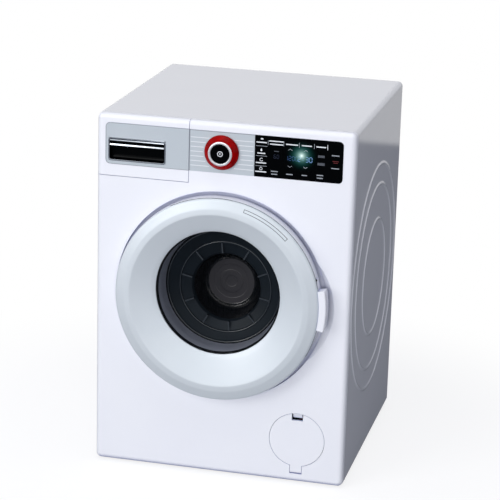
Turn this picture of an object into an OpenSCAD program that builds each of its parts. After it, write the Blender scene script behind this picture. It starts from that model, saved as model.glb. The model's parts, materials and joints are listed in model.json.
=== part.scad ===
// Toy front-loading washing machine, built as the separate pieces of the real one.
// Millimetres. +Z is up, +X is to the right seen from the front, and the front faces -Y.
// The origin is on the ground, under the middle of the machine's outline.

/* [Casing] */
// Width of the casing
body_w = 185; // [182:1:190]
// Depth of the casing, from the front face to the rear edge
body_d = 180; // [176:1:190]
// Height of the casing above its feet
body_h = 260; // [258:1:268]
// Wall thickness of the casing's mouldings
wall = 2.2; // [2:0.1:2.4]
// Radius of the casing's outer edges
edge_r = 3.5; // [3:0.5:4]
// Depth of the rim that the front panel wraps back
rim_d = 5; // [5:0.5:6]
// Height of the rubber feet under the casing
foot_h = 1.5; // [1:0.5:3]
// Diameter of a rubber foot
foot_dia = 16; // [14:1:18]
// Gap at a moulded seam
seam = 0.3; // [0.2:0.05:0.35]
// Height of the embossed rings on the side walls
emboss_h = 0.6; // [0.4:0.1:0.8]

/* [Door] */
// Distance from the casing's middle to the door's axis, to the right
door_offset = -1; // [-2:0.5:0]
// Height of the panel below the door's recess
door_foot = 58.1; // [57:0.5:60]
// Height of the panel between the door's recess and the drawer
door_head = 4.6; // [4:0.2:6]
// Width of the door ring's outer band
ring_band = 10.8; // [10:0.2:12]
// How far the crest stands in front of the front face
door_proud = 14; // [13.5:0.5:15]
// How far the ring's outer edge stands in front of the front face
ring_edge_h = 11.6; // [11:0.2:12]
// Width of the ring's sloping inner face
cone_w = 17.8; // [17:0.2:19]
// How far the glass opening's middle lies above the door's axis
glass_rise = 4.2; // [3.5:0.1:4.5]
// How deep the glass bowl reaches behind the front face
bowl_depth = 36; // [34:1:38]
// Gap between the door and the recess round it
door_gap = 2.5; // [2.2:0.1:3]
// Depth of the round recess in the front panel
recess_d = 5; // [4.5:0.5:5.5]
// Radius of the door's hinge pin
hinge_pin_r = 1.25; // [1:0.05:1.5]
// How far the hinge axis stands in front of the front face
hinge_h = 5; // [5:0.1:5.4]
// Half height of the door's handle
handle_half = 14.5; // [13:0.5:16]
// How far the handle stands out beyond the door's edge
handle_out = 5.2; // [4.6:0.2:5.6]

/* [Drum] */
// Width of the drum's front lip
drum_lip = 10; // [8:0.5:11]
// Space behind the drum for the drive
drive_space = 68; // [66:1:72]
// How much wider the drum's mouth is than the glass
mouth_room = 4.8; // [4:0.2:5]
// Wall of the drum and the tub
drum_wall = 1.6; // [1.4:0.1:1.8]
// Height of the lifters inside the drum
lifter_h = 12; // [10:0.5:13]
// Radius of the drum's shaft
shaft_r = 3; // [2.5:0.1:3.2]

/* [Drive] */
// Module of the drum's gear pair
drum_module = 1; // [1]
// Module of the motor's gear pair
motor_module = 0.8; // [0.8]
// Radius of the motor's shaft
motor_shaft_r = 1; // [0.8:0.1:1.1]
// Thickness of the gear wheels
gear_t = 5; // [4.5:0.5:5]

/* [Controls] */
// Width of the drawer's front, from the casing's left edge
drawer_w = 67; // [66:0.5:68]
// Height of the drawer's front, from the casing's top edge
drawer_h = 44.7; // [44:0.1:45]
// Distance from the casing's top edge to the silver strip
strip_drop = 6.5; // [6:0.5:7]
// Height of the silver strip
strip_h = 29.5; // [29:0.5:30]
// Width of the silver strip on the fixed panel, up to the display
trim_w = 46.9; // [46:0.3:48]
// Panel between the display and the casing's right edge
display_margin = 8.9; // [8:0.5:10]
// Base radius of the control knob
knob_r = 12.45; // [12:0.05:13]
// Height of the control knob
knob_h = 6; // [5.5:0.25:6.5]
// Radius of the button in the knob
button_r = 6.8; // [6.4:0.1:6.9]
// Travel of the button
button_travel = 1.2; // [1:0.1:1.4]

/* [Service flap] */
// Radius of the flap
flap_r = 20; // [19:0.5:20.5]
// From the casing's right edge to the middle of the service flap
flap_margin = 34.3; // [33:0.2:35]
// Height of the flap's middle above the casing's bottom edge
flap_h = 32.4; // [32:0.2:33]

/* [Hidden] */
$fn = 96;

// Places of the casing's faces
front_y = -(body_d + door_proud) / 2 + door_proud;
bottom = foot_h;
top = foot_h + body_h;
left = -body_w / 2;
right = body_w / 2;
rear_h = -body_d;
rear_inset = 2.2;
panel_h = rear_h + rear_inset;

// Control panel
split_x = left + drawer_w;
split_z = top - drawer_h;
display_x = split_x + trim_w;
display_x1 = right - display_margin;
display_w = display_x1 - display_x;
strip_top = top - strip_drop;
strip_bottom = strip_top - strip_h;
knob_x = split_x + 23.5;
knob_z = strip_top - 14.6;
sleeve_out_r = button_r + 0.6;
knob_bore_r = sleeve_out_r + 0.05;

// Door and drum axis
door_x = door_offset;
side_land = 6;
recess_r = min((split_z - door_head - bottom - door_foot) / 2, body_w / 2 - abs(door_x) - side_land);
door_z = bottom + door_foot + recess_r;
door_r = recess_r - door_gap;
crest_r = door_r - ring_band;
glass_r = crest_r - cone_w;
mouth_r = glass_r + glass_rise + 2.6;
hinge_x = door_x - door_r + 3.8;
hinge_knuckle_r = hinge_pin_r + 1.35;
knuckle_half = 9;
lug_gap = 0.3;
lug_t = 4;
pin_clear = 0.06;

// Drum and tub
drum_front_h = -16;
drum_rear_h = rear_h + drive_space;
drum_len = drum_front_h - drum_rear_h;
drum_mouth_r = glass_r + mouth_room;
drum_r = drum_mouth_r + drum_lip;
tub_clear = 4;
tub_r = drum_r + tub_clear;
tub_front_h = -recess_d - wall - 1;
tub_rear_h = drum_rear_h - 4;
tub_wall = 2;
tub_split_h = tub_front_h - 2.5;
bearing_r = shaft_r + 3.5;
gear_h = tub_rear_h - tub_wall - 4;

// Gear train: drum gear, idler pinion and wheel, motor pinion
drum_teeth = 56;
idler_teeth = 14;
wheel_teeth = 50;
pinion_teeth = 14;
idler_z = door_z - drum_module * (drum_teeth + idler_teeth) / 2;
motor_z = idler_z - motor_module * (wheel_teeth + pinion_teeth) / 2;
wheel_h = gear_h - gear_t - 0.6;
plate_h = wheel_h - gear_t - 2.5;
plate_t = 3;
motor_len = 24;
motor_r = 10;

// Grip recess in the drawer's front
grip_x0 = left + 8.5;
grip_x1 = left + 50;
grip_z0 = strip_bottom + 2.5;
grip_z1 = strip_bottom + 19;
bar_z0 = grip_z1 - 5.8;

// Detergent drawer
tray_x0 = left + 11;
tray_x1 = split_x - 7;
tray_z0 = split_z + 7;
tray_z1 = top - 12;
tray_len = 92;
house_gap = 0.4;
house_wall = 1.8;

// Service flap
flap_x = right - flap_margin;
flap_z = bottom + flap_h;
flap_t = 2;
flap_axis_z = bottom + 8.2;
flap_barrel_r = 1.5;
flap_axis_h = -flap_barrel_r - 0.05;
flap_tab_half = 4.2;
cup_depth = 24;
cap_r = 8;

// Battery compartment in the rear panel: three cells lying across
cell_r = 7.2;
cell_len = 50.5;
cell_pitch = 15.4;
cell_count = 3;
battery_x = -48;
battery_z = bottom + 42;
battery_w = cell_len + 7;
battery_tall = cell_pitch * cell_count + 2;
battery_depth = 2 * cell_r + 2.5;

// Hoses
hose_r = 4;
hose_bore_r = 2.6;
fill_x = door_x - tub_r + 12.5;
fill_h = -58;
elbow_r = 16;

// Screws
screw_r = 1.4;
head_r = 2.6;
pilot_r = 1.15;

// Colours
white = "#f1f2f7";
silver = "#c9d0d8";
chrome = "#9fb0bf";
steel = "#b6babf";
grey = "#8b8f96";
dark = "#22262c";
smoke = "#3a4248";
red = "#b0141c";
green = "#2f6b46";

// Turns a shape so that its X and Y lie on the front face and its Z points forward
module front() {
    translate([0, front_y, 0]) rotate([90, 0, 0]) children();
}

// A shape about the door's axis, in front-face coordinates
module on_axis(h = 0) {
    front() translate([door_x, door_z, h]) children();
}

// Round bar along the front-face normal, from height h0 to h1
module rod(x, z, h0, h1, r) {
    translate([x, z, h0]) cylinder(h = h1 - h0, r = r);
}

// Square-edged block in front-face coordinates
module block(x0, x1, z0, z1, h0, h1) {
    translate([x0, z0, h0]) cube([x1 - x0, z1 - z0, h1 - h0]);
}

// Plate with round corners in front-face coordinates
module plate(x0, x1, z0, z1, h0, h1, r) {
    translate([0, 0, h0]) linear_extrude(h1 - h0) rounded(x0, x1, z0, z1, r);
}

module rounded(x0, x1, z0, z1, r) {
    translate([x0 + r, z0]) square([x1 - x0 - 2 * r, z1 - z0]);
    translate([x0, z0 + r]) square([x1 - x0, z1 - z0 - 2 * r]);
    for (x = [x0 + r, x1 - r], z = [z0 + r, z1 - r]) translate([x, z]) circle(r);
}

// Tube along the local Z axis
module tube(h0, h1, r_out, r_in) {
    translate([0, 0, h0]) difference() {
        cylinder(h = h1 - h0, r = r_out);
        translate([0, 0, -1]) cylinder(h = h1 - h0 + 2, r = r_in);
    }
}

// Pan-head screw whose head's underside lies at the origin and whose tip points along -Z
module pan_screw(length) {
    translate([0, 0, -length]) cylinder(h = length + 0.2, r = screw_r);
    difference() {
        cylinder(h = 1.8, r = head_r);
        for (a = [0, 90]) rotate([0, 0, a]) translate([-1.6, -0.35, 0.9]) cube([3.2, 0.7, 1.2]);
    }
}

// Spur gear outline with involute flanks, a tooth centred on angle zero
function polar(r, a) = [r * cos(a), r * sin(a)];
function inv_deg(r, rb) = r <= rb ? 0 : sqrt(r * r / (rb * rb) - 1) * 180 / PI - acos(rb / r);
function flank_angle(n, m, r) =
    let (rp = n * m / 2, rb = rp * cos(20), half = 90 / n - tooth_thin / 2 / rp * 180 / PI)
    half + inv_deg(rp, rb) - inv_deg(r, rb);
tooth_thin = 0.14;
flank_steps = 4;
module gear_outline(n, m) {
    rp = n * m / 2;
    r_root = rp - 1.15 * m;
    r_tip = rp + 0.8 * m;
    r_base = max(r_root, rp * cos(20) + 0.01);
    circle(r_root + 0.05, $fn = 4 * n);
    for (k = [0 : n - 1]) rotate([0, 0, k * 360 / n]) polygon(concat(
        [polar(r_root - 0.3, -flank_angle(n, m, r_base) - 0.4)],
        [for (i = [0 : flank_steps]) let (r = r_base + (r_tip - r_base) * i / flank_steps)
            polar(r, -flank_angle(n, m, r))],
        [for (i = [flank_steps : -1 : 0]) let (r = r_base + (r_tip - r_base) * i / flank_steps)
            polar(r, flank_angle(n, m, r))],
        [polar(r_root - 0.3, flank_angle(n, m, r_base) + 0.4)]));
}

// Shared places of the cabinet's fixings
rail_w = 14;
foot_x = right - 9.5;
foot_h0 = -18;
foot_h1 = rear_h + 16;
stem_r = 2.3;
stem_clear = 0.05;
rear_boss_x = right - wall - 5;
rear_boss_z = [bottom + 2 * wall + 5.1, top - 16];
ear_r = recess_r + wall + 5.5;
ear_angles = [45, 135, 225, 315];
ear_pad_r = 5;
scoop_r = 50.4;
scoop_x = right - 11 - scoop_r;
scoop_z = door_z - 2.5;
latch_x = door_x + door_r - 12.8;
web_t = 2;
back_wall_h = -rim_d - 1;
door_floor_h = -recess_d - wall;

module casing_outline(inset) {
    rounded(left + inset, right - inset, bottom + inset, top - inset, max(edge_r - inset, 1));
}

// Outer form of the casing's front, with a rounded edge all round
module skin_form() {
    hull() {
        for (a = [0 : 22.5 : 90])
            translate([0, 0, -edge_r * (1 - cos(a)) - 0.01])
                linear_extrude(0.01)
                    rounded(left + edge_r * (1 - sin(a)), right - edge_r * (1 - sin(a)),
                        bottom + edge_r * (1 - sin(a)), top - edge_r * (1 - sin(a)),
                        edge_r * sin(a) + 0.5, $fn = 32);
        translate([0, 0, -rim_d])
            linear_extrude(0.01) rounded(left, right, bottom, top, edge_r, $fn = 32);
    }
}

module hollow_front() {
    translate([0, 0, -rim_d - 1]) linear_extrude(rim_d + 1 - wall) casing_outline(wall);
}

// Round screw post with a pilot hole from its far end
module post(x, z, h0, h1, r = 3.6) {
    difference() {
        rod(x, z, h0, h1, r);
        rod(x, z, h0 - 1, h1 - 1, pilot_r);
    }
}

ring_r = body_d / 2 - 6;

module side_rings(s) {
    translate([s * right, front_y + body_d / 2 + 1, bottom + 131.5])
        rotate([0, s * 90, 0])
            for (r = [ring_r - 41, ring_r - 15, ring_r])
                rotate_extrude() polygon([[r - 1.8, -0.4], [r - 0.5, emboss_h],
                    [r + 0.5, emboss_h], [r + 1.8, -0.4]]);
}

module cabinet_shell() {
    color(white) {
        difference() {
            union() {
                front() difference() {
                    translate([0, 0, rear_h]) linear_extrude(-rear_h - rim_d - seam / 2)
                        casing_outline(0);
                    translate([0, 0, rear_h - 1]) linear_extrude(-rear_h - rim_d + 2)
                        casing_outline(wall);
                    block(left + rail_w, right - rail_w, bottom - 1, bottom + wall + 1, rear_h - 1, 1);
                }
                for (s = [-1, 1]) side_rings(s);
            }
            for (x = [-foot_x, foot_x], h = [foot_h0, foot_h1])
                translate([x, front_y - h, bottom - 1]) cylinder(h = wall + 2, r = stem_r + stem_clear);
        }
        front() for (s = [-1, 1], z = rear_boss_z) difference() {
            block(s > 0 ? rear_boss_x - 4 : left + wall - 0.5, s > 0 ? right - wall + 0.5 : -rear_boss_x + 4,
                z - 4, z + 4, panel_h + wall, panel_h + wall + 14);
            rod(s * rear_boss_x, z, panel_h + wall - 1, panel_h + wall + 12, pilot_r);
        }
    }
}

module scoop_cone(grow, h0, h1) {
    slope = 1.3;
    translate([scoop_x, scoop_z, h0])
        cylinder(h = h1 - h0, r1 = scoop_r + grow + slope * h0, r2 = scoop_r + grow + slope * h1);
}

module tray_hole(gap, h0, h1) {
    block(tray_x0 - house_wall - gap, tray_x1 + house_wall + gap,
        tray_z0 - house_wall - gap, tray_z1 + house_wall + gap, h0, h1);
}

module front_panel() {
    color(white) front() difference() {
        union() {
            difference() {
                skin_form();
                hollow_front();
                block(left - 1, split_x + seam / 2, split_z - seam / 2, top + 1, -rim_d - 1, 1);
            }
            rod(door_x, door_z, door_floor_h, -wall / 2, recess_r + wall);
            scoop_cone(wall, -recess_d - wall / 2, -wall / 2);
            block(split_x + seam / 2, split_x + seam / 2 + web_t, split_z - web_t, top - wall,
                back_wall_h - web_t, -wall / 2);
            block(left + wall, split_x + web_t, split_z - seam / 2 - web_t, split_z - seam / 2,
                back_wall_h - web_t, -wall / 2);
            block(left + wall + seam, split_x + web_t, split_z - web_t, top - wall - seam,
                back_wall_h - web_t, back_wall_h);
            for (a = ear_angles)
                post(door_x + ear_r * cos(a), door_z + ear_r * sin(a), tub_front_h, -wall / 2, ear_pad_r);
            control_posts();
            rod(flap_x, flap_z, -wall - 4, -wall / 2, flap_r + 2.6);
            for (s = [-1, 1])
                block(flap_x + s * (flap_tab_half + 1.9) - 1.5, flap_x + s * (flap_tab_half + 1.9) + 1.5,
                    flap_axis_z - 2.6, flap_axis_z + 4, -wall - 2.4, -wall / 2);
        }
        rod(door_x, door_z, -recess_d, 1, recess_r);
        rod(door_x, door_z, door_floor_h - 1, 1, mouth_r);
        scoop_cone(0, -recess_d, 1);
        tray_hole(house_gap + seam, back_wall_h - web_t - 1, back_wall_h + 1);
        for (s = [-1, 1]) hinge_slot(s);
        latch_hole(1, 0.4, door_floor_h - 1, 1);
        rod(flap_x, flap_z, -wall - 8, 1, flap_r + seam);
        block(flap_x - flap_tab_half - seam, flap_x + flap_tab_half + seam,
            flap_axis_z - flap_barrel_r - seam, flap_z, -wall - 8, 1);
        bar_x(flap_x, flap_axis_z, flap_axis_h, 2 * flap_tab_half + 6, 1.06);
        control_cuts();
    }
}

// Bar along X at a height and depth of the front face
module bar_x(x, z, h, length, r) {
    translate([x - length / 2, z, h]) rotate([0, 90, 0]) cylinder(h = length, r = r);
}

module hinge_slot(s) {
    z = door_z + s * (knuckle_half + lug_gap + lug_t / 2);
    block(hinge_x - hinge_knuckle_r - 0.3, hinge_x + hinge_knuckle_r + 0.3,
        z - lug_t / 2 - 0.2, z + lug_t / 2 + 0.2, door_floor_h - 1, 1);
}

module latch_hole(gap_x, gap_z, h0, h1) {
    block(latch_x - 1.5 - gap_x, latch_x + 1.5 + gap_x, door_z - 7 - gap_z, door_z + 7 + gap_z, h0, h1);
}

trim_t = 0.8;
lens_t = 1.6;
lens_proud = 0.4;

module control_cuts() {
    // Pocket for the silver strip, and the window behind the display
    block(split_x - 1, display_x, strip_bottom, strip_top, -trim_t + 0.2, 1);
    plate(display_x - 8, display_x1, strip_bottom, strip_top, -trim_t + 0.2, 1, 3);
    block(display_x - 0.1, display_x1 - 3, strip_bottom, strip_top, -lens_t + lens_proud, 1);
    plate(display_x + 8, display_x1, strip_bottom, strip_top, -lens_t + lens_proud, 1, 3);
    plate(display_x + 2, display_x1 - 3, strip_bottom + 3, strip_top - 3, -wall - 1, 1, 2);
    rod(knob_x, knob_z, -wall - 1, 1, knob_bore_r + 0.3);
}

// Rear panel, base and feet
speaker_x = 36;
speaker_z = bottom + 190;
speaker_r = 20;
vent_count = 9;

module rear_panel() {
    color(white) front() difference() {
        union() {
            translate([0, 0, panel_h]) linear_extrude(wall) casing_outline(wall + seam);
            translate([speaker_x, speaker_z, 0])
                tube(panel_h + wall - 0.2, panel_h + wall + 5, speaker_r + 2, speaker_r + 0.2);
        }
        for (s = [-1, 1], z = rear_boss_z)
            rod(s * rear_boss_x, z, panel_h - 1, panel_h + wall + 1, screw_r + 0.2);
        battery_opening(seam, panel_h - 1, panel_h + wall + 1);
        for (ring = [0 : 3], k = [0 : max(0, 6 * ring - 1)])
            rod(speaker_x + 4 * ring * cos(k * 60 / max(ring, 1)),
                speaker_z + 4 * ring * sin(k * 60 / max(ring, 1)), panel_h - 1, panel_h + wall + 1, 1.2);
        for (k = [0 : vent_count - 1])
            plate(-66, -26, bottom + 150 + 8 * k, bottom + 153 + 8 * k,
                panel_h - 1, panel_h + wall + 1, 1.4);
    }
}

module battery_opening(gap, h0, h1) {
    block(battery_x - battery_w / 2 - gap, battery_x + battery_w / 2 + gap,
        battery_z - battery_tall / 2 - gap, battery_z + battery_tall / 2 + gap + 7, h0, h1);
}

module base_plate() {
    color(white) difference() {
        front() block(left + wall + 1.3, right - wall - 1.3, bottom + wall, bottom + 2 * wall,
            panel_h + wall + seam, -rim_d - seam);
        for (x = [-foot_x, foot_x], h = [foot_h0, foot_h1])
            translate([x, front_y - h, bottom]) cylinder(h = 3 * wall, r = stem_r + stem_clear);
    }
}

module rubber_feet() {
    color(grey) for (x = [-foot_x, foot_x], h = [foot_h0, foot_h1]) translate([x, front_y - h, 0]) {
        cylinder(h = foot_h, r = foot_dia / 2);
        cylinder(h = bottom + 2 * wall + 1, r = stem_r);
    }
}

// Control panel pieces
board_h = -6.6;
board_t = 1.6;

module control_trim() {
    color(silver) front() difference() {
        block(split_x + seam / 2, display_x - 0.05, strip_bottom + 0.05, strip_top - 0.05,
            -trim_t + 0.2, 0.2);
        rod(knob_x, knob_z, -2, 1, knob_r - 1.5);
    }
}

module display_lens() {
    color(dark) front() intersection() {
        plate(display_x - 8, display_x1 - 0.05, strip_bottom + 0.05, strip_top - 0.05,
            -lens_t + lens_proud, lens_proud, 3);
        block(display_x, display_x1, strip_bottom, strip_top, -5, 5);
    }
}

board_posts = [[display_x + 6, strip_bottom - 4], [display_x1 - 6, strip_bottom - 4],
    [knob_x - 3, strip_bottom - 4], [display_x - 6, strip_top - 4]];

module display_board() {
    color(green) front() difference() {
        union() {
            block(knob_x - 11, display_x1 - 1, strip_bottom - 7, strip_top - 1,
                board_h - board_t, board_h);
            block(display_x + 12, display_x + 26, strip_bottom + 4, strip_bottom + 14,
                board_h - board_t - 2, board_h - board_t);
            block(display_x1 - 22.2, display_x1 - 10.2, strip_bottom - 4, strip_bottom + 1,
                board_h - board_t - 4, board_h - board_t);
        }
        for (p = board_posts) rod(p[0], p[1], board_h - 6, board_h + 1, screw_r + 0.15);
    }
}

module led_lamps() {
    color("#dfe9ea") front() {
        for (k = [1 : 5], z = [8, 20])
            translate([display_x + k * display_w / 6, strip_bottom + z, board_h]) {
            cylinder(h = 1.5, r = 1.5);
            translate([0, 0, 1.5]) sphere(r = 1.49, $fn = 32);
        }
        translate([knob_x, knob_z - 10.2, board_h]) cylinder(h = 3, r = 1.2);
    }
}

module knob_switch() {
    color(dark) front() difference() {
        rod(knob_x, knob_z, board_h, -3, 5);
        rod(knob_x, knob_z, board_h + 0.8, 0, 2.3);
    }
}

module control_posts() {
    for (p = board_posts) post(p[0], p[1], board_h, -wall / 2, 2.6);
}

// Knob with its button
module knob_ring() {
    color(red, 0.85) front() translate([knob_x, knob_z, 0]) rotate_extrude() polygon([
        [sleeve_out_r + 0.75, 0.3], [knob_r - 0.4, 0.3], [knob_r, 0.8], [knob_r - 0.5, 2],
        [sleeve_out_r + 2, knob_h - 1.4], [sleeve_out_r + 1.5, knob_h - 1],
        [sleeve_out_r + 0.75, knob_h - 1]]);
}

module knob_bezel() {
    color(chrome) front() translate([knob_x, knob_z, 0]) rotate_extrude() polygon([
        [button_r + 0.05, -6.2], [sleeve_out_r, -6.2], [sleeve_out_r, 0.3], [sleeve_out_r + 0.7, 0.3],
        [sleeve_out_r + 0.7, knob_h - 1], [sleeve_out_r + 1.2, knob_h - 1],
        [sleeve_out_r + 1.2, knob_h - 0.4], [sleeve_out_r + 0.8, knob_h],
        [button_r + 0.35, knob_h], [button_r + 0.05, knob_h - 0.3]]);
}

module power_button() {
    color(dark) front() {
        rod(knob_x, knob_z, knob_h - 2.4, knob_h - 0.6, button_r);
        rod(knob_x, knob_z, -4.2, knob_h - 2.4, 2.2);
    }
}

// The spring at its pressed length, standing on the switch
module button_spring() {
    color(steel) front() translate([knob_x, knob_z, 0])
        tube(-3, knob_h - 2.4 - button_travel - 0.1, 4, 2.8);
}

// Drawer
house_out = house_gap + house_wall;

module drawer_front() {
    color(white) front() difference() {
        intersection() {
            difference() {
                skin_form();
                difference() {
                    hollow_front();
                    block(split_x - 2.2, split_x + 1, split_z, top, -rim_d, 1);
                    block(left, split_x, split_z - 1, split_z + 2.2, -rim_d, 1);
                }
            }
            block(left - 1, split_x - seam / 2, split_z + seam / 2, top + 1, -rim_d + seam, 1);
        }
        plate(left + strip_drop, split_x + 9, strip_bottom, strip_top, -trim_t + 0.2, 1, 3);
        block(grip_x0, grip_x1, grip_z0, grip_z1, -wall - 1, 1);
    }
}

module drawer_trim() {
    color(silver) front() difference() {
        intersection() {
            plate(left + strip_drop + 0.05, split_x + 9, strip_bottom + 0.05, strip_top - 0.05,
                -trim_t + 0.2, 0.2, 3);
            block(left, split_x - seam / 2, bottom, top, -3, 3);
        }
        block(grip_x0, grip_x1, grip_z0, grip_z1, -3, 3);
    }
}

grip_depth = 5.2;
module drawer_grip_cup() {
    color(dark) front() difference() {
        block(grip_x0 + 0.1, grip_x1 - 0.1, grip_z0 + 0.1, grip_z1 - 0.1, -grip_depth, 0.3);
        block(grip_x0 + 1.1, grip_x1 - 1.1, grip_z0 + 1.1, grip_z1 - 1.1, -grip_depth + 1.2, 1);
    }
}

module drawer_grip_bar() {
    color(chrome) front() intersection() {
        block(grip_x0 + 1.15, grip_x1 - 1.15, bar_z0, grip_z1 - 1.15, -2.5, 0.9);
        translate([0, bar_z0 + 2.4, -4.6]) rotate([0, 90, 0]) cylinder(h = 200, r = 5.4, center = true);
    }
}

module drawer_tray() {
    mid = (tray_x0 + tray_x1) / 2;
    wall_t = 1.6;
    front_h = -grip_depth - 0.05;
    color("#dfe6f2") front() difference() {
        block(tray_x0, tray_x1, tray_z0, tray_z1, -tray_len - 6, -wall);
        for (x = [[tray_x0 + wall_t, mid - wall_t / 2], [mid + wall_t / 2, tray_x1 - wall_t]])
            block(x[0], x[1], tray_z0 + wall_t, tray_z1 + 1, -tray_len - 6 + wall_t, front_h - wall_t);
        block(tray_x0 - 1, grip_x1 + 0.15, grip_z0 - 0.15, grip_z1 + 0.15, front_h, 0);
    }
}

module drawer_housing() {
    color(white) front() difference() {
        union() {
            tray_hole(house_gap, -tray_len - 10, back_wall_h);
            up(fill_x, tray_z0 - house_out - 7, fill_h, 8, 2.55);
        }
        block(tray_x0 - house_gap, tray_x1 + house_gap, tray_z0 - house_gap, tray_z1 + house_gap,
            -tray_len - 10 + house_wall, 0);
        up(fill_x, tray_z0 - house_out - 8, fill_h, 12, 1.7);
    }
}

// Vertical bar in front-face coordinates, standing on height z
module up(x, z, h, length, r) {
    translate([x, z, h]) rotate([-90, 0, 0]) cylinder(h = length, r = r);
}

// Tub, drum and drive
ear_t = 2.5;
post_x = 26;
post_z = -sqrt(pow(tub_r - 4.1, 2) - pow(post_x, 2));
post_spots = [[36, -16], [-36, -16], [post_x, post_z], [-post_x, post_z]];

module ear_plate(h0, h1) {
    translate([0, 0, h0]) linear_extrude(h1 - h0) difference() {
        union() {
            circle(r = tub_r + tub_wall);
            for (a = ear_angles) rotate(a) {
                translate([tub_r, -ear_pad_r]) square([ear_r - tub_r, 2 * ear_pad_r]);
                translate([ear_r, 0]) circle(r = ear_pad_r);
            }
        }
        for (a = ear_angles) rotate(a) translate([ear_r, 0]) circle(r = screw_r + 0.2);
    }
}

module tub_front() {
    color(white) on_axis() difference() {
        ear_plate(tub_split_h, tub_front_h);
        cylinder_between(tub_split_h - 1, tub_front_h + 1, mouth_r);
    }
}

module cylinder_between(h0, h1, r) {
    translate([0, 0, h0]) cylinder(h = h1 - h0, r = r);
}

module door_seal() {
    color(grey) on_axis() rotate_extrude() polygon([
        [mouth_r - 0.1, tub_split_h], [mouth_r - 0.1, -recess_d], [mouth_r + 1.5, -recess_d],
        [mouth_r + 1.5, -recess_d + 1.2], [mouth_r - 0.8, -recess_d + 1.6], [mouth_r - 1.5, -recess_d + 0.6],
        [mouth_r - 1.5, tub_split_h]]);
}

module tub_shell() {
    color(white) on_axis() difference() {
        union() {
            cylinder_between(tub_rear_h - tub_wall, tub_split_h - ear_t, tub_r + tub_wall);
            ear_plate(tub_split_h - ear_t, tub_split_h);
            cylinder_between(tub_rear_h - tub_wall - 3, tub_rear_h + 2, bearing_r + 2);
            for (p = post_spots) cylinder_at(p, plate_h, tub_rear_h, 3.6);
            up(0, -tub_r - 10, drain_h, 12, 2.55);
            up(fill_x - door_x, sqrt(pow(tub_r, 2) - pow(fill_x - door_x, 2)) - 1, fill_h, 12, 2.55);
        }
        cylinder_between(tub_rear_h, tub_split_h + 1, tub_r);
        cylinder_between(tub_rear_h - tub_wall - 4, tub_rear_h + 3, bearing_r);
        for (p = post_spots) cylinder_at(p, plate_h - 1, plate_h + 9, pilot_r);
        up(0, -tub_r - 11, drain_h, 14, 1.7);
        up(fill_x - door_x, 20, fill_h, 50, 1.7);
    }
}

drain_h = -52;

module cylinder_at(p, h0, h1, r) {
    translate([p[0], p[1], h0]) cylinder(h = h1 - h0, r = r);
}

module drum_bearing() {
    color("#c79a4b") on_axis() {
        tube(tub_rear_h - tub_wall - 3, tub_rear_h + 1.5, bearing_r - 0.02, shaft_r + pin_clear);
    }
}

module drum_shell() {
    hole_r = 1.4;
    color(steel) on_axis() difference() {
        cylinder_between(drum_rear_h + 2.2, drum_front_h, drum_r);
        cylinder_between(drum_rear_h, drum_front_h - drum_wall, drum_r - drum_wall);
        cylinder_between(drum_rear_h, drum_front_h + 1, drum_mouth_r);
        for (row = [0 : 4], k = [0 : 11])
            rotate([0, 0, k * 30 + (row % 2) * 8 + 10])
                translate([0, 0, drum_front_h - 16 - row * (drum_len - 36) / 4])
                    rotate([0, 90, 0]) translate([0, 0, drum_r - 4]) cylinder(h = 6, r = hole_r);
    }
}

module drum_back() {
    color(steel) on_axis() difference() {
        union() {
            cylinder_between(drum_rear_h, drum_rear_h + 2.2, drum_r);
            cylinder_between(drum_rear_h + 1, drum_rear_h + 6, drum_r - drum_wall - 0.05);
            cylinder_between(drum_rear_h, drum_rear_h + 14, 9);
            for (k = [0 : 5]) rotate([0, 0, 60 * k + 30])
                translate([8, -1.5, drum_rear_h + 2]) cube([drum_r - 12, 3, 7]);
        }
        cylinder_between(drum_rear_h - 1, drum_rear_h + 12, shaft_r + 0.02);
        for (i = [0 : 2], k = [0 : 11]) rotate([0, 0, k * 30 + (i == 1 ? 0 : 15)])
            translate([20 + i * (drum_r - 36) / 2, 0, drum_rear_h - 1])
                cylinder(h = 8, r = i == 1 ? 1.6 : 2);
    }
}

module drum_lifters() {
    color(white) on_axis() for (k = [0 : 2]) rotate([0, 0, 120 * k + 90]) intersection() {
        hull() {
            translate([drum_r - drum_wall - lifter_h + 3, 0, drum_rear_h + 14])
                cylinder(h = drum_len - 30, r = 3, $fn = 32);
            translate([drum_r - 5, -9, drum_rear_h + 9.3]) cube([4, 18, drum_len - 18]);
        }
        cylinder_between(drum_rear_h, drum_front_h, drum_r - drum_wall - 0.15);
    }
}

module drum_shaft() {
    color(steel) on_axis() difference() {
        cylinder_between(gear_h - gear_t, drum_rear_h + 11.9, shaft_r);
        cylinder_between(gear_h - gear_t - 1, gear_h + 6, pilot_r);
    }
}

module drum_gear() {
    color(white) on_axis() difference() {
        union() {
            translate([0, 0, gear_h - gear_t]) linear_extrude(gear_t) gear_outline(drum_teeth, drum_module);
            cylinder_between(gear_h - gear_t, gear_h + 0.7, shaft_r + 3);
        }
        cylinder_between(gear_h - gear_t - 1, gear_h + 4, shaft_r + 0.02);
        for (k = [0 : 5]) rotate([0, 0, 60 * k + 30])
            cylinder_at([17, 0], gear_h - gear_t - 1, gear_h + 1, 5);
    }
}

module drum_screw() {
    color(steel) on_axis() difference() {
        union() {
            cylinder_between(gear_h - gear_t, gear_h + 3, pilot_r);
            cylinder_between(gear_h - gear_t - 1.6, gear_h - gear_t, 4);
        }
        for (a = [0, 90]) rotate([0, 0, a])
            translate([-1.8, -0.4, gear_h - gear_t - 2]) cube([3.6, 0.8, 1.2]);
    }
}

module at_idler() {
    front() translate([door_x, idler_z, 0]) children();
}

idler_axle_r = 1.5;

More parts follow.
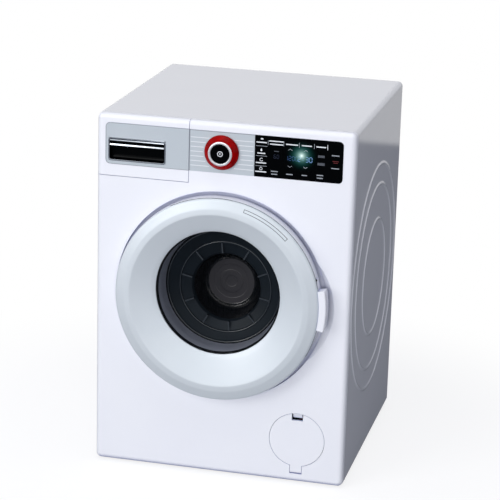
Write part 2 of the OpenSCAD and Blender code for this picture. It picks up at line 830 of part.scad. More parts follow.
module idler_gear() {
    color("#e8d9b0") at_idler() difference() {
        union() {
            translate([0, 0, wheel_h]) linear_extrude(gear_h - wheel_h)
                gear_outline(idler_teeth, drum_module);
            translate([0, 0, wheel_h - gear_t]) linear_extrude(gear_t)
                gear_outline(wheel_teeth, motor_module);
        }
        cylinder_between(wheel_h - gear_t - 1, gear_h + 1, idler_axle_r + pin_clear);
    }
}

module idler_axle() {
    color(steel) at_idler() cylinder_between(plate_h - plate_t, gear_h + 2.5, idler_axle_r);
}

module motor_pinion() {
    color("#c79a4b") front() translate([door_x, motor_z, 0]) difference() {
        translate([0, 0, wheel_h - gear_t]) linear_extrude(gear_t) rotate([0, 0, 180 / pinion_teeth])
            gear_outline(pinion_teeth, motor_module);
        cylinder_between(wheel_h - gear_t - 1, wheel_h + 1, motor_shaft_r + 0.02);
    }
}

module motor_shaft() {
    color(steel) front() translate([door_x, motor_z, 0])
        cylinder_between(plate_h - plate_t - 6, wheel_h + 0.3, motor_shaft_r);
}

module gear_plate() {
    color(white) on_axis() difference() {
        block(-41, 41, motor_z - door_z - 13, idler_z - door_z + 26, plate_h - plate_t, plate_h);
        for (p = post_spots) cylinder_at(p, plate_h - plate_t - 1, plate_h + 1, screw_r + 0.2);
        cylinder_at([0, idler_z - door_z], plate_h - plate_t - 1, plate_h + 1, idler_axle_r + 0.02);
        cylinder_at([0, motor_z - door_z], plate_h - plate_t - 1, plate_h + 1, 3.2);
        for (s = [-1, 1]) cylinder_at([s * 21, motor_z - door_z], plate_h - plate_t - 1, plate_h + 1, 4);
    }
}

module drive_motor() {
    color(steel) front() translate([door_x, motor_z, 0]) difference() {
        union() {
            intersection() {
                cylinder_between(plate_h - plate_t - motor_len, plate_h - plate_t, motor_r);
                block(-motor_r, motor_r, -7.6, 7.6, plate_h - plate_t - motor_len, plate_h);
            }
            cylinder_between(plate_h - plate_t - 1, plate_h - 0.5, 3);
            cylinder_between(plate_h - plate_t - motor_len - 2, plate_h - plate_t - 1, 3);
            for (s = [-1, 1]) translate([s * 6 - 1.2, -0.3, plate_h - plate_t - motor_len - 3])
                cube([2.4, 0.6, 4]);
        }
        cylinder_between(plate_h - plate_t - 6.5, plate_h + 1, motor_shaft_r + pin_clear);
    }
}

// Hoses and the service cup
module ring_section() {
    difference() {
        circle(hose_r);
        circle(hose_bore_r);
    }
}

module hose_piece(length) {
    difference() {
        cylinder(h = length, r = hose_r);
        translate([0, 0, -1]) cylinder(h = length + 2, r = hose_bore_r);
    }
}

module fill_hose() {
    z0 = door_z + sqrt(pow(tub_r + tub_wall, 2) - pow(fill_x - door_x + hose_r, 2)) + 2.6;
    z1 = tray_z0 - house_out;
    color(grey) front() translate([fill_x, z0, fill_h]) rotate([-90, 0, 0]) hose_piece(z1 - z0 - 0.05);
}

module drain_hose() {
    z0 = door_z - tub_r - tub_wall - 0.3;
    z1 = flap_z + elbow_r;
    x1 = flap_x - elbow_r;
    color(grey) front() {
        translate([door_x, z1, drain_h]) rotate([-90, 0, 0]) hose_piece(z0 - z1);
        translate([door_x + elbow_r, z1, drain_h]) rotate([0, 0, 180])
            rotate_extrude(angle = 90) translate([elbow_r, 0]) ring_section();
        translate([door_x + elbow_r, flap_z, drain_h]) rotate([0, 90, 0])
            hose_piece(x1 - door_x - elbow_r);
        translate([x1, flap_z, drain_h + elbow_r]) rotate([90, 0, 0]) rotate([0, 0, -90])
            rotate_extrude(angle = 90) translate([elbow_r, 0]) ring_section();
        translate([flap_x, flap_z, drain_h + elbow_r])
            hose_piece(-cup_depth - 1.8 - drain_h - elbow_r - 0.05);
    }
}

module service_cup() {
    cup_r = flap_r + seam - 0.1;
    color(dark) front() translate([flap_x, flap_z, 0]) difference() {
        union() {
            difference() {
                cylinder_between(-cup_depth - 1.8, -flap_t - 1, cup_r);
                cylinder_between(-cup_depth, 0, cup_r - 1.8);
            }
            cylinder_between(-cup_depth - 1, -cup_depth + 6, 5);
            cylinder_between(-cup_depth - 10, -cup_depth, 2.55);
            difference() {
                cylinder_between(-wall - 6, -wall - 4, cup_r + 2.4);
                cylinder_between(-wall - 7, -wall - 3, cup_r - 1);
            }
        }
        cylinder_between(-cup_depth - 11, 0, 1.7);
    }
}

module drain_cap() {
    color(red) front() translate([flap_x, flap_z, 0]) difference() {
        union() {
            cylinder_between(-cup_depth + 0.3, -cup_depth + 9, cap_r);
            block(-6.5, 6.5, -1.3, 1.3, -cup_depth + 8, -cup_depth + 14);
        }
        cylinder_between(-cup_depth - 1, -cup_depth + 6.5, 5 + pin_clear);
    }
}

module service_flap() {
    color(white) front() difference() {
        union() {
            rod(flap_x, flap_z, -flap_t, 0, flap_r);
            block(flap_x - flap_tab_half, flap_x + flap_tab_half,
                flap_axis_z, flap_z - flap_r / 2, -flap_t, 0);
            bar_x(flap_x, flap_axis_z, flap_axis_h, 2 * flap_tab_half, flap_barrel_r);
            bar_x(flap_x, flap_axis_z, flap_axis_h, 2 * flap_tab_half + 5.6, 1);
        }
        block(flap_x - 4.1, flap_x + 4.1, flap_z + flap_r - 5.2, flap_z + flap_r + 1, -flap_t - 1, 1);
    }
}

// Door
frame_h0 = 0.6;
frame_h1 = 2.4;
ring_base_h = 9.3;
ring_skin = 2.1;
ring_lip_h = 7.4;
door_screw_r = door_r - 7.8;
door_screw_angles = [30, 90, 150, 210, 270, 330];
clamp_r = glass_r + 8;

module at_glass(h = 0) {
    translate([0, glass_rise, h]) children();
}

// Space inside the ring's sloping inner face, lowered by the given drop
module funnel(drop) {
    hull() {
        translate([0, 0, door_proud - drop]) cylinder(h = 1, r = crest_r, $fn = 96);
        at_glass(ring_lip_h - drop - 0.01) cylinder(h = 0.01, r = glass_r, $fn = 96);
    }
}

module door_ring() {
    color(silver) on_axis() {
        difference() {
            rotate_extrude() polygon([[glass_r - 6, ring_lip_h - ring_skin], [glass_r - 6, door_proud],
                [crest_r, door_proud], [crest_r + 4, door_proud - 0.4], [door_r - 0.9, ring_edge_h],
                [door_r, ring_edge_h - 0.8], [door_r, ring_base_h], [door_r - 2, ring_base_h],
                [door_r - 2, ring_lip_h - ring_skin]]);
            funnel(0);
            at_glass(0) cylinder(h = 20, r = glass_r);
            difference() {
                rotate_extrude() polygon([[glass_r - 8, 0], [glass_r - 8, door_proud - ring_skin],
                    [crest_r, door_proud - ring_skin], [door_r - 2, ring_edge_h - ring_skin],
                    [door_r - 2, 0]]);
                funnel(ring_skin);
            }
            arc_groove();
        }
        for (a = door_screw_angles) rotate([0, 0, a]) difference() {
            cylinder_at([door_screw_r, 0], frame_h1, ring_edge_h - ring_skin + 0.8, 3);
            cylinder_at([door_screw_r, 0], frame_h1 - 1, ring_base_h, pilot_r);
        }
    }
}

// Fine groove that outlines an arc-shaped field on the ring's outer band
groove_r1 = door_r - 3.4;
groove_r0 = groove_r1 - 3.2;
groove_a0 = 33;
groove_a1 = 71;
groove_w = 0.5;
module arc_groove() {
    module sector(r0, r1, a0, a1) {
        rotate([0, 0, a0]) rotate_extrude(angle = a1 - a0) polygon([
            [r0, band_h(r0) - 0.5], [r1, band_h(r1) - 0.5], [r1, door_proud + 1], [r0, door_proud + 1]]);
    }
    turn = groove_w / groove_r0 * 180 / PI;
    difference() {
        sector(groove_r0, groove_r1, groove_a0, groove_a1);
        sector(groove_r0 + groove_w, groove_r1 - groove_w, groove_a0 + turn, groove_a1 - turn);
    }
}
function band_h(r) = door_proud - 0.4 - (r - crest_r - 4) * (door_proud - 0.4 - ring_edge_h)
    / (door_r - 0.9 - crest_r - 4);

module door_frame() {
    lug_zone = knuckle_half + lug_t + 2 * lug_gap;
    color(white) on_axis() difference() {
        union() {
            difference() {
                cylinder_between(frame_h0, ring_base_h, door_r);
                cylinder_between(frame_h1, ring_base_h + 1, door_r - 2.2);
                at_glass(0) cylinder(h = 9, r = clamp_r);
            }
            translate([hinge_x - door_x, 0, hinge_h]) rotate([90, 0, 0])
                cylinder(h = 2 * knuckle_half, r = hinge_knuckle_r, center = true);
            block(hinge_x - door_x - 1, hinge_x - door_x + 5, -knuckle_half, knuckle_half,
                frame_h0 + 0.5, hinge_h);
        }
        for (s = [-1, 1]) block(-door_r - 1, hinge_x - door_x + hinge_knuckle_r + 0.4,
            s > 0 ? knuckle_half : -lug_zone, s > 0 ? lug_zone : -knuckle_half,
            0, hinge_h + hinge_knuckle_r + 0.8);
        translate([hinge_x - door_x, 0, hinge_h]) rotate([90, 0, 0])
            cylinder(h = 4 * knuckle_half, r = hinge_pin_r + pin_clear, center = true);
        for (a = door_screw_angles) rotate([0, 0, a])
            cylinder_at([door_screw_r, 0], frame_h0 - 1, frame_h1 + 1, screw_r + 0.2);
        rotate([0, 0, 17]) translate([door_r - 6, 0, 5.5]) rotate([0, 90, 0]) cylinder(h = 10, r = 1.2);
    }
}

module bowl_form(grow, front_h) {
    hull() {
        at_glass(-8) cylinder(h = front_h + 8, r = glass_r - 0.7 + grow, $fn = 72);
        translate([0, 0.8, 10 - bowl_depth - grow]) cylinder(h = 0.01, r = glass_r - 17.2 + grow, $fn = 72);
        translate([0, 0, -bowl_depth - grow]) cylinder(h = 0.01, r = glass_r - 27.2 + grow / 2, $fn = 72);
    }
}

module door_glass() {
    color(smoke, 0.6) on_axis() difference() {
        union() {
            at_glass(3.4) cylinder(h = 1.8, r = glass_r + 4);
            bowl_form(0, 4);
        }
        bowl_form(-2, 8);
    }
}

module glass_clamp() {
    color(dark) on_axis() at_glass() rotate_extrude() polygon([
        [glass_r + 0.6, frame_h0 + 0.2], [clamp_r - 0.2, frame_h0 + 0.2], [clamp_r - 0.2, frame_h1 + 0.05],
        [clamp_r + 3, frame_h1 + 0.05], [clamp_r + 3, 3.35], [glass_r + 0.6, 3.35]]);
}

module door_handle() {
    a = asin(handle_half / (door_r + handle_out / 2));
    color(white) on_axis() difference() {
        rotate([0, 0, -a]) rotate_extrude(angle = 2 * a) polygon([
            [door_r + 0.05, 3], [door_r + 0.05, ring_edge_h - 0.1],
            [door_r + handle_out - 0.6, ring_edge_h - 0.1],
            [door_r + handle_out, ring_edge_h - 0.7], [door_r + handle_out, 3]]);
        rotate([0, 0, -a + 1.5]) rotate_extrude(angle = 2 * a - 3) polygon([
            [door_r + 1.6, 2], [door_r + 1.6, ring_edge_h - 1.9],
            [door_r + handle_out - 1.4, ring_edge_h - 1.9],
            [door_r + handle_out - 1.4, 2]]);
    }
}

module door_latch() {
    color(white) front() {
        block(latch_x - 1.5, latch_x + 1.5, door_z - 7, door_z + 7, door_floor_h - 0.4, frame_h0);
        block(latch_x - 4, latch_x + 4, door_z - 9, door_z + 9, frame_h0 - 1.2, frame_h0);
    }
}

module door_screws() {
    color(steel) on_axis() for (a = door_screw_angles) rotate([0, 0, a])
        translate([door_screw_r, 0, frame_h0]) rotate([180, 0, 0]) pan_screw(7);
}

module hinge_bracket() {
    color(white) front() difference() {
        union() {
            block(hinge_x - 5, hinge_x + 2.9, door_z - 20, door_z + 20,
                door_floor_h - 1.8, door_floor_h - 0.02);
            for (s = [-1, 1]) {
                z = door_z + s * (knuckle_half + lug_gap + lug_t / 2);
                block(hinge_x - hinge_knuckle_r, hinge_x + hinge_knuckle_r, z - lug_t / 2, z + lug_t / 2,
                    door_floor_h - 1, hinge_h);
                translate([hinge_x, z, hinge_h]) rotate([90, 0, 0])
                    cylinder(h = lug_t, r = hinge_knuckle_r - 0.02, center = true);
            }
        }
        translate([hinge_x, door_z, hinge_h]) rotate([90, 0, 0])
            cylinder(h = 60, r = hinge_pin_r + 0.02, center = true);
        for (s = [-1, 1]) rod(hinge_x - 1, door_z + s * 17.3, door_floor_h - 3, 0, screw_r + 0.2);
    }
}

module hinge_pin() {
    color(steel) front() translate([hinge_x, door_z, hinge_h]) rotate([90, 0, 0])
        cylinder(h = 2 * (knuckle_half + lug_gap + lug_t), r = hinge_pin_r, center = true);
}

// Battery compartment
cell_h = panel_h + wall + battery_depth - cell_r - 0.1;

module battery_box() {
    color(white) front() difference() {
        union() {
            difference() {
                battery_opening(seam + 1.6, panel_h + wall + 0.02, panel_h + wall + battery_depth + 1.6);
                battery_opening(0, panel_h + wall - 1, panel_h + wall + battery_depth);
            }
            rod(battery_x, battery_z + battery_tall / 2 + 3.5, panel_h + wall + 0.02,
                panel_h + wall + battery_depth + 1, 3);
        }
        rod(battery_x, battery_z + battery_tall / 2 + 3.5, panel_h, panel_h + wall + 10, pilot_r);
    }
}

module cell_rows() {
    for (k = [0 : cell_count - 1])
        translate([battery_x, battery_z + (k - (cell_count - 1) / 2) * cell_pitch, cell_h])
            rotate([0, 90, 0]) rotate([0, 0, 180]) mirror([0, 0, k % 2]) children();
}

module battery_cells() {
    color("#b9a13a") front() cell_rows() {
        translate([0, 0, -cell_len / 2]) cylinder(h = cell_len - 1.2, r = cell_r);
        cylinder(h = cell_len / 2, r = 2.6);
    }
}

module battery_contacts() {
    side = battery_w / 2 - 0.02;
    color(steel) front() cell_rows() {
        translate([-5, -5, side - 0.5]) cube([10, 10, 0.5]);
        translate([0, 0, cell_len / 2 + 0.05]) cylinder(h = side - cell_len / 2 - 0.3, r = 2);
        translate([-5, -5, -side]) cube([10, 10, 0.5]);
        translate([0, 0, -side + 0.3]) cylinder(h = side - cell_len / 2 - 0.35, r1 = 5, r2 = 2.5);
    }
}

module battery_door() {
    color(white) front() difference() {
        union() {
            battery_opening(-0.05, panel_h, panel_h + wall - 0.2);
            for (k = [-3 : 3])
                block(battery_x - 9, battery_x + 9, battery_z + 2.4 * k - 0.5, battery_z + 2.4 * k + 0.5,
                    panel_h - 0.5, panel_h + 0.5);
        }
        rod(battery_x, battery_z + battery_tall / 2 + 3.5, panel_h - 1, panel_h + wall, screw_r + 0.2);
    }
}

module battery_door_screw() {
    color(steel) front() translate([battery_x, battery_z + battery_tall / 2 + 3.5, panel_h])
        rotate([180, 0, 0]) pan_screw(8);
}

module speaker() {
    color(dark) front() translate([speaker_x, speaker_z, panel_h + wall]) rotate_extrude() polygon([
        [0, 1.6], [6, 1.6], [speaker_r - 3, 0.6], [speaker_r - 3, 0.02], [speaker_r, 0.02], [speaker_r, 2],
        [speaker_r - 3, 2], [11, 6], [11, 11], [0, 11]]);
}

module case_screws() {
    color(steel) front() for (s = [-1, 1], z = rear_boss_z)
        translate([s * rear_boss_x, z, panel_h]) rotate([180, 0, 0]) pan_screw(9);
}

module inner_screws() {
    color(steel) {
        on_axis() {
            for (a = ear_angles) rotate([0, 0, a]) translate([ear_r, 0, tub_split_h - ear_t])
                rotate([180, 0, 0]) pan_screw(9);
            for (p = post_spots) translate([p[0], p[1], plate_h - plate_t]) rotate([180, 0, 0]) pan_screw(8);
        }
        front() {
            for (p = board_posts)
                translate([p[0], p[1], board_h - board_t]) rotate([180, 0, 0]) pan_screw(5);
            for (s = [-1, 1]) translate([hinge_x - 1, door_z + s * 17.3, door_floor_h - 1.8])
                rotate([180, 0, 0]) pan_screw(3.6);
        }
    }
}

// Leads inside the casing
lead_r = 0.8;
lead_h = panel_h + 13;
lead_x = right - wall - 4;
lead_z = bottom + 60;
lead_routes = [
    [[display_x1 - 16.2, strip_bottom - 1.5, board_h - board_t - 4],
        [display_x1 - 16.2, strip_bottom - 1.5, -18],
        [lead_x, strip_bottom - 1.5, -22], [lead_x, strip_bottom - 1.5, lead_h], [lead_x, lead_z, lead_h],
        [battery_x + battery_w / 2 + seam + 1.7, lead_z, lead_h]],
    [[door_x + 6, motor_z, plate_h - plate_t - motor_len - 3.9], [door_x + 6, lead_z, lead_h + 1.6]],
    [[lead_x, speaker_z, lead_h - 1.6], [speaker_x + 11.1, speaker_z, lead_h - 1.6]]
];

module lead(points) {
    for (i = [0 : len(points) - 2]) {
        step = points[i + 1] - points[i];
        translate(points[i])
            rotate([0, acos(step[2] / norm(step)), atan2(step[1], step[0])])
                cylinder(h = norm(step), r = lead_r, $fn = 24);
        if (i > 0) translate(points[i]) sphere(r = lead_r, $fn = 24);
    }
}

module wiring() {
    color("#b03a32") front() for (points = lead_routes) lead(points);
}

cabinet_shell();
front_panel();
rear_panel();
base_plate();
rubber_feet();
control_trim();
display_lens();
display_board();
led_lamps();
knob_switch();
case_screws();
inner_screws();
hinge_bracket();
hinge_pin();
door_seal();
tub_shell();
tub_front();
drum_bearing();
gear_plate();
drive_motor();
drawer_housing();
fill_hose();
drain_hose();
service_cup();
battery_box();
battery_cells();
battery_contacts();
battery_door();
battery_door_screw();
speaker();
wiring();
door_frame();
door_ring();
door_glass();
glass_clamp();
door_handle();
door_latch();
door_screws();
drum_shell();
drum_back();
drum_lifters();
drum_shaft();
drum_gear();
drum_screw();
idler_gear();
idler_axle();
motor_pinion();
motor_shaft();
drawer_front();
drawer_trim();
drawer_grip_cup();
drawer_grip_bar();
drawer_tray();
knob_ring();
knob_bezel();
power_button();
button_spring();
service_flap();
drain_cap();
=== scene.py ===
# %% [markdown]
# # A toy washing machine, dressed for its photograph
#
# The CAD model gives every piece its place and its motion.  This script loads it as a fixed
# frame, gives each piece the finish that it has in the photograph, and adds the fine forms
# that a camera sees: the dished door ring, the smoked bowl, the printed display and the
# raised rings on the side.  All lengths are metres and the front of the toy looks along -Y.

# %% Load the frame
import json
import math

import bmesh
import bpy
from mathutils import Matrix, Vector

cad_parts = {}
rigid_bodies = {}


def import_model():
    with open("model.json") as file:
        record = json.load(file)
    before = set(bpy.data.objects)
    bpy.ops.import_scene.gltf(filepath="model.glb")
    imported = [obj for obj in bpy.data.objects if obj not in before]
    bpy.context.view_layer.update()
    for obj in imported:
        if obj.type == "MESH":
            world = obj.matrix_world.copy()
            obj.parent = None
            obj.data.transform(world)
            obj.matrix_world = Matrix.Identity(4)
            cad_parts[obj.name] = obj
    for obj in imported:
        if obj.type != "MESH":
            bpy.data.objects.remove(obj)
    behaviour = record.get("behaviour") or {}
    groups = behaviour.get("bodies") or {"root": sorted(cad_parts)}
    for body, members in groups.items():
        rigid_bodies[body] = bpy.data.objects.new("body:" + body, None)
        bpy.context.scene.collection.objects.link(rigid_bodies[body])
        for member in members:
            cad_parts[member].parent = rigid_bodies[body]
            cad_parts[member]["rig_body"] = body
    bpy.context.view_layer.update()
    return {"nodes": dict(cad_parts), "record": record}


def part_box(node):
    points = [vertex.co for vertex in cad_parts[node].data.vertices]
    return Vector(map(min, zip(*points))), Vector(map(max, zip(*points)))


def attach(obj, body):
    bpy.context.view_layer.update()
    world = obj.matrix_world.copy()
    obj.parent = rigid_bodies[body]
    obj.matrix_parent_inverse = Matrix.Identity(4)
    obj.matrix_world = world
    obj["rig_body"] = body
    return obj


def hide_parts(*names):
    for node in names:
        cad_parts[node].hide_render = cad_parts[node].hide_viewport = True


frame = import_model()
NODES = frame["nodes"]
MM = 0.001
FRONT_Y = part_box("front_panel")[0].y

# %% [markdown]
# ## Camera and studio
#
# The camera stands where the photographer's did: about a metre and a half off, a little to
# the right and above.  The shot is lit as a catalogue picture is, with one broad soft light
# from the front left, a weaker one overhead, and a white ground that runs out to white.

# %% Camera
YAW, PITCH, ROLL = (math.radians(a) for a in (13.536, 16.867, 1.642))
TARGET = Vector((-1.68, 7.0, 144.0)) * MM
back = Vector((math.sin(YAW) * math.cos(PITCH), -math.cos(YAW) * math.cos(PITCH), math.sin(PITCH)))
right = Vector((math.cos(YAW), math.sin(YAW), 0.0))
above = back.cross(right)
rolled_right = right * math.cos(ROLL) + above * math.sin(ROLL)
rolled_up = above * math.cos(ROLL) - right * math.sin(ROLL)
camera_data = bpy.data.cameras.new("camera")
camera_data.lens = 144.08
camera_data.sensor_width = 36.0
camera_data.clip_end = 20.0
camera = bpy.data.objects.new("camera", camera_data)
camera.matrix_world = Matrix.Translation(TARGET + back * 1.495) @ Matrix(
    (rolled_right, rolled_up, back)).transposed().to_4x4()
scene = bpy.context.scene
scene.collection.objects.link(camera)
scene.camera = camera
print("camera at", tuple(round(v, 3) for v in camera.matrix_world.translation))

# %% [markdown]
# ## Small helpers
#
# Colours are written as hex values, the way a paint chart gives them, and turned to the
# linear numbers that a shader wants.  One function adds a node with its settings and links,
# so that each material below reads as a short list of what it does.

# %% Helpers for colour and nodes
def linear(hex_colour):
    parts = [int(hex_colour[i:i + 2], 16) / 255 for i in (1, 3, 5)]
    return [c / 12.92 if c <= 0.04045 else ((c + 0.055) / 1.055) ** 2.4 for c in parts] + [1.0]


def add_node(tree, kind, inputs=None, **settings):
    made = tree.nodes.new(kind)
    for name, value in settings.items():
        setattr(made, name, value)
    for name, value in (inputs or {}).items():
        if isinstance(value, bpy.types.NodeSocket):
            tree.links.new(value, made.inputs[name])
        else:
            made.inputs[name].default_value = value
    return made


def new_material(name):
    made = bpy.data.materials.new(name)
    made.use_nodes = True
    tree = made.node_tree
    tree.nodes.clear()
    surface = add_node(tree, "ShaderNodeBsdfPrincipled")
    add_node(tree, "ShaderNodeOutputMaterial", {"Surface": surface.outputs["BSDF"]})
    place = add_node(tree, "ShaderNodeTexCoord").outputs["Object"]
    return made, tree, surface, place


def set_inputs(tree, shader, values):
    for name, value in values.items():
        if isinstance(value, bpy.types.NodeSocket):
            tree.links.new(value, shader.inputs[name])
        else:
            shader.inputs[name].default_value = value


print("helpers ready")

# %% Floor and world
ground_mesh = bpy.data.meshes.new("floor")
ground_mesh.from_pydata([(-6, -6, 0), (6, -6, 0), (6, 6, 0), (-6, 6, 0)], [], [(0, 1, 2, 3)])
ground = bpy.data.objects.new("floor", ground_mesh)
scene.collection.objects.link(ground)

world = bpy.data.worlds.new("studio")
scene.world = world
world.use_nodes = True
world.node_tree.nodes.clear()
WORLD_GREY = 0.24
rays = add_node(world.node_tree, "ShaderNodeLightPath")
seen = rays.outputs["Is Camera Ray"]
for kind in ("Is Glossy Ray", "Is Transmission Ray"):
    seen = add_node(world.node_tree, "ShaderNodeMath", {
        0: seen, 1: rays.outputs[kind]}, operation="MAXIMUM").outputs[0]
sky = add_node(world.node_tree, "ShaderNodeMix", {
    "Factor": seen, 6: (WORLD_GREY * 0.95, WORLD_GREY * 0.97, WORLD_GREY * 1.13, 1.0),
    7: (1.0, 1.0, 1.0, 1.0)}, data_type="RGBA")
emit = add_node(world.node_tree, "ShaderNodeBackground", {"Color": sky.outputs[2]})
add_node(world.node_tree, "ShaderNodeOutputWorld", {"Surface": emit.outputs[0]})
scene.view_settings.view_transform = "Standard"

# Studio ground: pale board.  The camera sees part of its white as paint and part as glow,
# so that it is white where it is lit and soft grey where the toy shades it, and a short way
# off it is all glow and meets the white of the world without a line.
floor_finish = bpy.data.materials.new("studio_ground_board")
floor_finish.use_nodes = True
tree = floor_finish.node_tree
tree.nodes.clear()
place = add_node(tree, "ShaderNodeTexCoord").outputs["Object"]
reach = add_node(tree, "ShaderNodeVectorMath", {0: place}, operation="LENGTH").outputs["Value"]
away = add_node(tree, "ShaderNodeMapRange", {
    "Value": reach, "From Min": 0.16, "From Max": 0.34}, interpolation_type="SMOOTHSTEP")
paint = add_node(tree, "ShaderNodeBsdfDiffuse", {"Color": linear("#8c8d90")})
glow = add_node(tree, "ShaderNodeEmission", {"Color": linear("#ffffff"), "Strength": 0.8})
shaded = add_node(tree, "ShaderNodeAddShader", {0: paint.outputs[0], 1: glow.outputs[0]})
white = add_node(tree, "ShaderNodeEmission", {"Color": linear("#ffffff"), "Strength": 1.0})
ground_seen = add_node(tree, "ShaderNodeMixShader", {
    "Fac": away.outputs[0], 1: shaded.outputs[0], 2: white.outputs[0]})

# The toy's own reflections see a greyer table that ends in a white backdrop behind it.
BACKDROP_Y = 0.94
split = add_node(tree, "ShaderNodeSeparateXYZ", {0: place})
behind = add_node(tree, "ShaderNodeMapRange", {
    "Value": split.outputs["Y"], "From Min": BACKDROP_Y, "From Max": BACKDROP_Y + 0.03})
path = add_node(tree, "ShaderNodeLightPath")
table_tone = add_node(tree, "ShaderNodeMix", {
    "Factor": path.outputs["Is Glossy Ray"], 6: linear("#acaeb3"), 7: linear("#85888d")},
    data_type="RGBA")
table = add_node(tree, "ShaderNodeBsdfDiffuse", {"Color": table_tone.outputs[2]})
backdrop = add_node(tree, "ShaderNodeEmission", {"Color": linear("#ffffff"), "Strength": 0.6})
board = add_node(tree, "ShaderNodeMixShader", {
    "Fac": behind.outputs[0], 1: table.outputs[0], 2: backdrop.outputs[0]})
finish = add_node(tree, "ShaderNodeMixShader", {
    "Fac": path.outputs["Is Camera Ray"], 1: board.outputs[0], 2: ground_seen.outputs[0]})
add_node(tree, "ShaderNodeOutputMaterial", {"Surface": finish.outputs[0]})
ground_mesh.materials.append(floor_finish)
print("ground", tuple(ground.dimensions))

# %% Lamps
def soft_lamp(name, where, aim, size, watts, colour):
    data = bpy.data.lights.new(name, "AREA")
    data.shape = "RECTANGLE"
    data.size, data.size_y = size
    data.energy = watts
    data.color = linear(colour)[:3]
    lamp = bpy.data.objects.new(name, data)
    lamp.location = where
    lamp.rotation_euler = (Vector(aim) - Vector(where)).to_track_quat("-Z", "Y").to_euler()
    scene.collection.objects.link(lamp)
    return lamp


soft_lamp("front_left_softbox", (-1.05, -1.5, 0.85), (0, 0, 0.12), (1.1, 1.1), 14.2, "#ffffff")
low_panel = soft_lamp("front_low_panel", (0.15, -1.9, 0.25), (0, 0, 0.1), (1.3, 0.9), 18.6,
                      "#ffffff")
low_panel.visible_glossy = False
soft_lamp("overhead_softbox", (0.05, -0.3, 1.6), (0, 0, 0.13), (1.0, 1.0), 5.8, "#ffffff")
soft_lamp("right_fill", (1.6, -0.4, 0.5), (0, 0, 0.13), (0.8, 0.8), 0.4, "#f4f7ff")

# %% [markdown]
# ## Finishes
#
# Every finish starts from what the real one is.  Most of a toy like this is moulded ABS, so
# the first three are the same plastic with a different skin: bare white, silver lacquer and
# vacuum-plated chrome.  Moulded plastic is never dead flat.  It has a faint waviness a few
# millimetres long, where it shrank on its ribs, and a fine grain from the mould's own
# polish, and both show only in reflections, so they go in the bump and not in the colour.

# %% White moulded ABS
def mould_bump(tree, place, wave_mm, grain_mm, wave, fine, round_mm=0.0):
    slow = add_node(tree, "ShaderNodeTexNoise", {
        "Vector": place, "Scale": 1 / (wave_mm * MM), "Detail": 1.0})
    grain = add_node(tree, "ShaderNodeTexNoise", {
        "Vector": place, "Scale": 1 / (grain_mm * MM), "Detail": 2.0})
    first = add_node(tree, "ShaderNodeBump", {
        "Height": slow.outputs["Fac"], "Distance": wave * MM, "Strength": 1.0})
    if round_mm:
        soft = add_node(tree, "ShaderNodeBevel", {"Radius": round_mm * MM}, samples=8)
        tree.links.new(soft.outputs["Normal"], first.inputs["Normal"])
    return add_node(tree, "ShaderNodeBump", {
        "Height": grain.outputs["Fac"], "Distance": fine * MM, "Strength": 1.0,
        "Normal": first.outputs["Normal"]}).outputs["Normal"]


def tinted(tree, place, low, high, patch_mm):
    cloud = add_node(tree, "ShaderNodeTexNoise", {
        "Vector": place, "Scale": 1 / (patch_mm * MM), "Detail": 3.0})
    return add_node(tree, "ShaderNodeMix", {
        "Factor": cloud.outputs["Fac"], 6: linear(low), 7: linear(high)},
        data_type="RGBA").outputs[2]


def painted_gap_shade(tree, colour, deep, reach_mm):
    """The colour, going over to deep where walls stand close: painted shade, a lavender grey
    laid on wherever other surfaces stand within reach_mm, in recesses and narrow gaps."""
    openness = add_node(tree, "ShaderNodeAmbientOcclusion", {"Distance": reach_mm * MM},
                        samples=6)
    share = add_node(tree, "ShaderNodeMapRange", {
        "Value": openness.outputs["AO"], "From Min": 0.25, "From Max": 0.8})
    return add_node(tree, "ShaderNodeMix", {
        "Factor": share.outputs[0], 6: linear(deep), 7: colour}, data_type="RGBA").outputs[2]


# ABS gives a soft, slightly cool white with a clear but blurred reflection.
white_abs, tree, surface, place = new_material("white_moulded_abs")
white_base = tinted(tree, place, "#eef0f8", "#f2f4fa", 45)
# Painted shade: the white turns lavender grey in the door's recess and in other narrow gaps.
set_inputs(tree, surface, {
    "Base Color": painted_gap_shade(tree, white_base, "#b0b7de", 7), "Roughness": 0.3, "IOR": 1.53,
    "Normal": mould_bump(tree, place, 14, 0.5, 0.02, 0.0012)})

# The casing is the same plastic from a polished mould, so its reflections are crisper.  The
# raised rings on its sides have no hard corners, so its shading is rounded over them.
polished_abs, tree, surface, place = new_material("white_polished_abs")
set_inputs(tree, surface, {
    "Base Color": tinted(tree, place, "#eef0f6", "#f2f4f9", 45), "Roughness": 0.07, "IOR": 1.5,
    "Normal": mould_bump(tree, place, 22, 0.6, 0.02, 0.0006, round_mm=1.6)})
print(white_abs.name, polished_abs.name)

# %% Silver lacquer over ABS
# Fine aluminium flake in lacquer: a soft, wide highlight that turns darker at an angle.
def silver(name, low, high, metallic):
    made, tree, surface, place = new_material(name)
    flakes = add_node(tree, "ShaderNodeTexVoronoi", {
        "Vector": place, "Scale": 1 / (0.25 * MM)})
    flake_tone = add_node(tree, "ShaderNodeMapRange", {
        "Value": flakes.outputs["Distance"], "To Min": 0.5, "To Max": 0.58})
    set_inputs(tree, surface, {
        "Base Color": tinted(tree, place, low, high, 30), "Metallic": metallic,
        "Roughness": flake_tone.outputs[0], "Coat Weight": 0.25, "Coat Roughness": 0.2,
        "Normal": mould_bump(tree, place, 12, 0.4, 0.012, 0.001)})
    return made


silver_lacquer = silver("silver_flake_lacquer", "#d1d9e0", "#dae1e7", 0.25)
strip_lacquer = silver("pale_silver_lacquer", "#bcc5cd", "#c5cdd4", 0.22)
print(silver_lacquer.name, strip_lacquer.name)

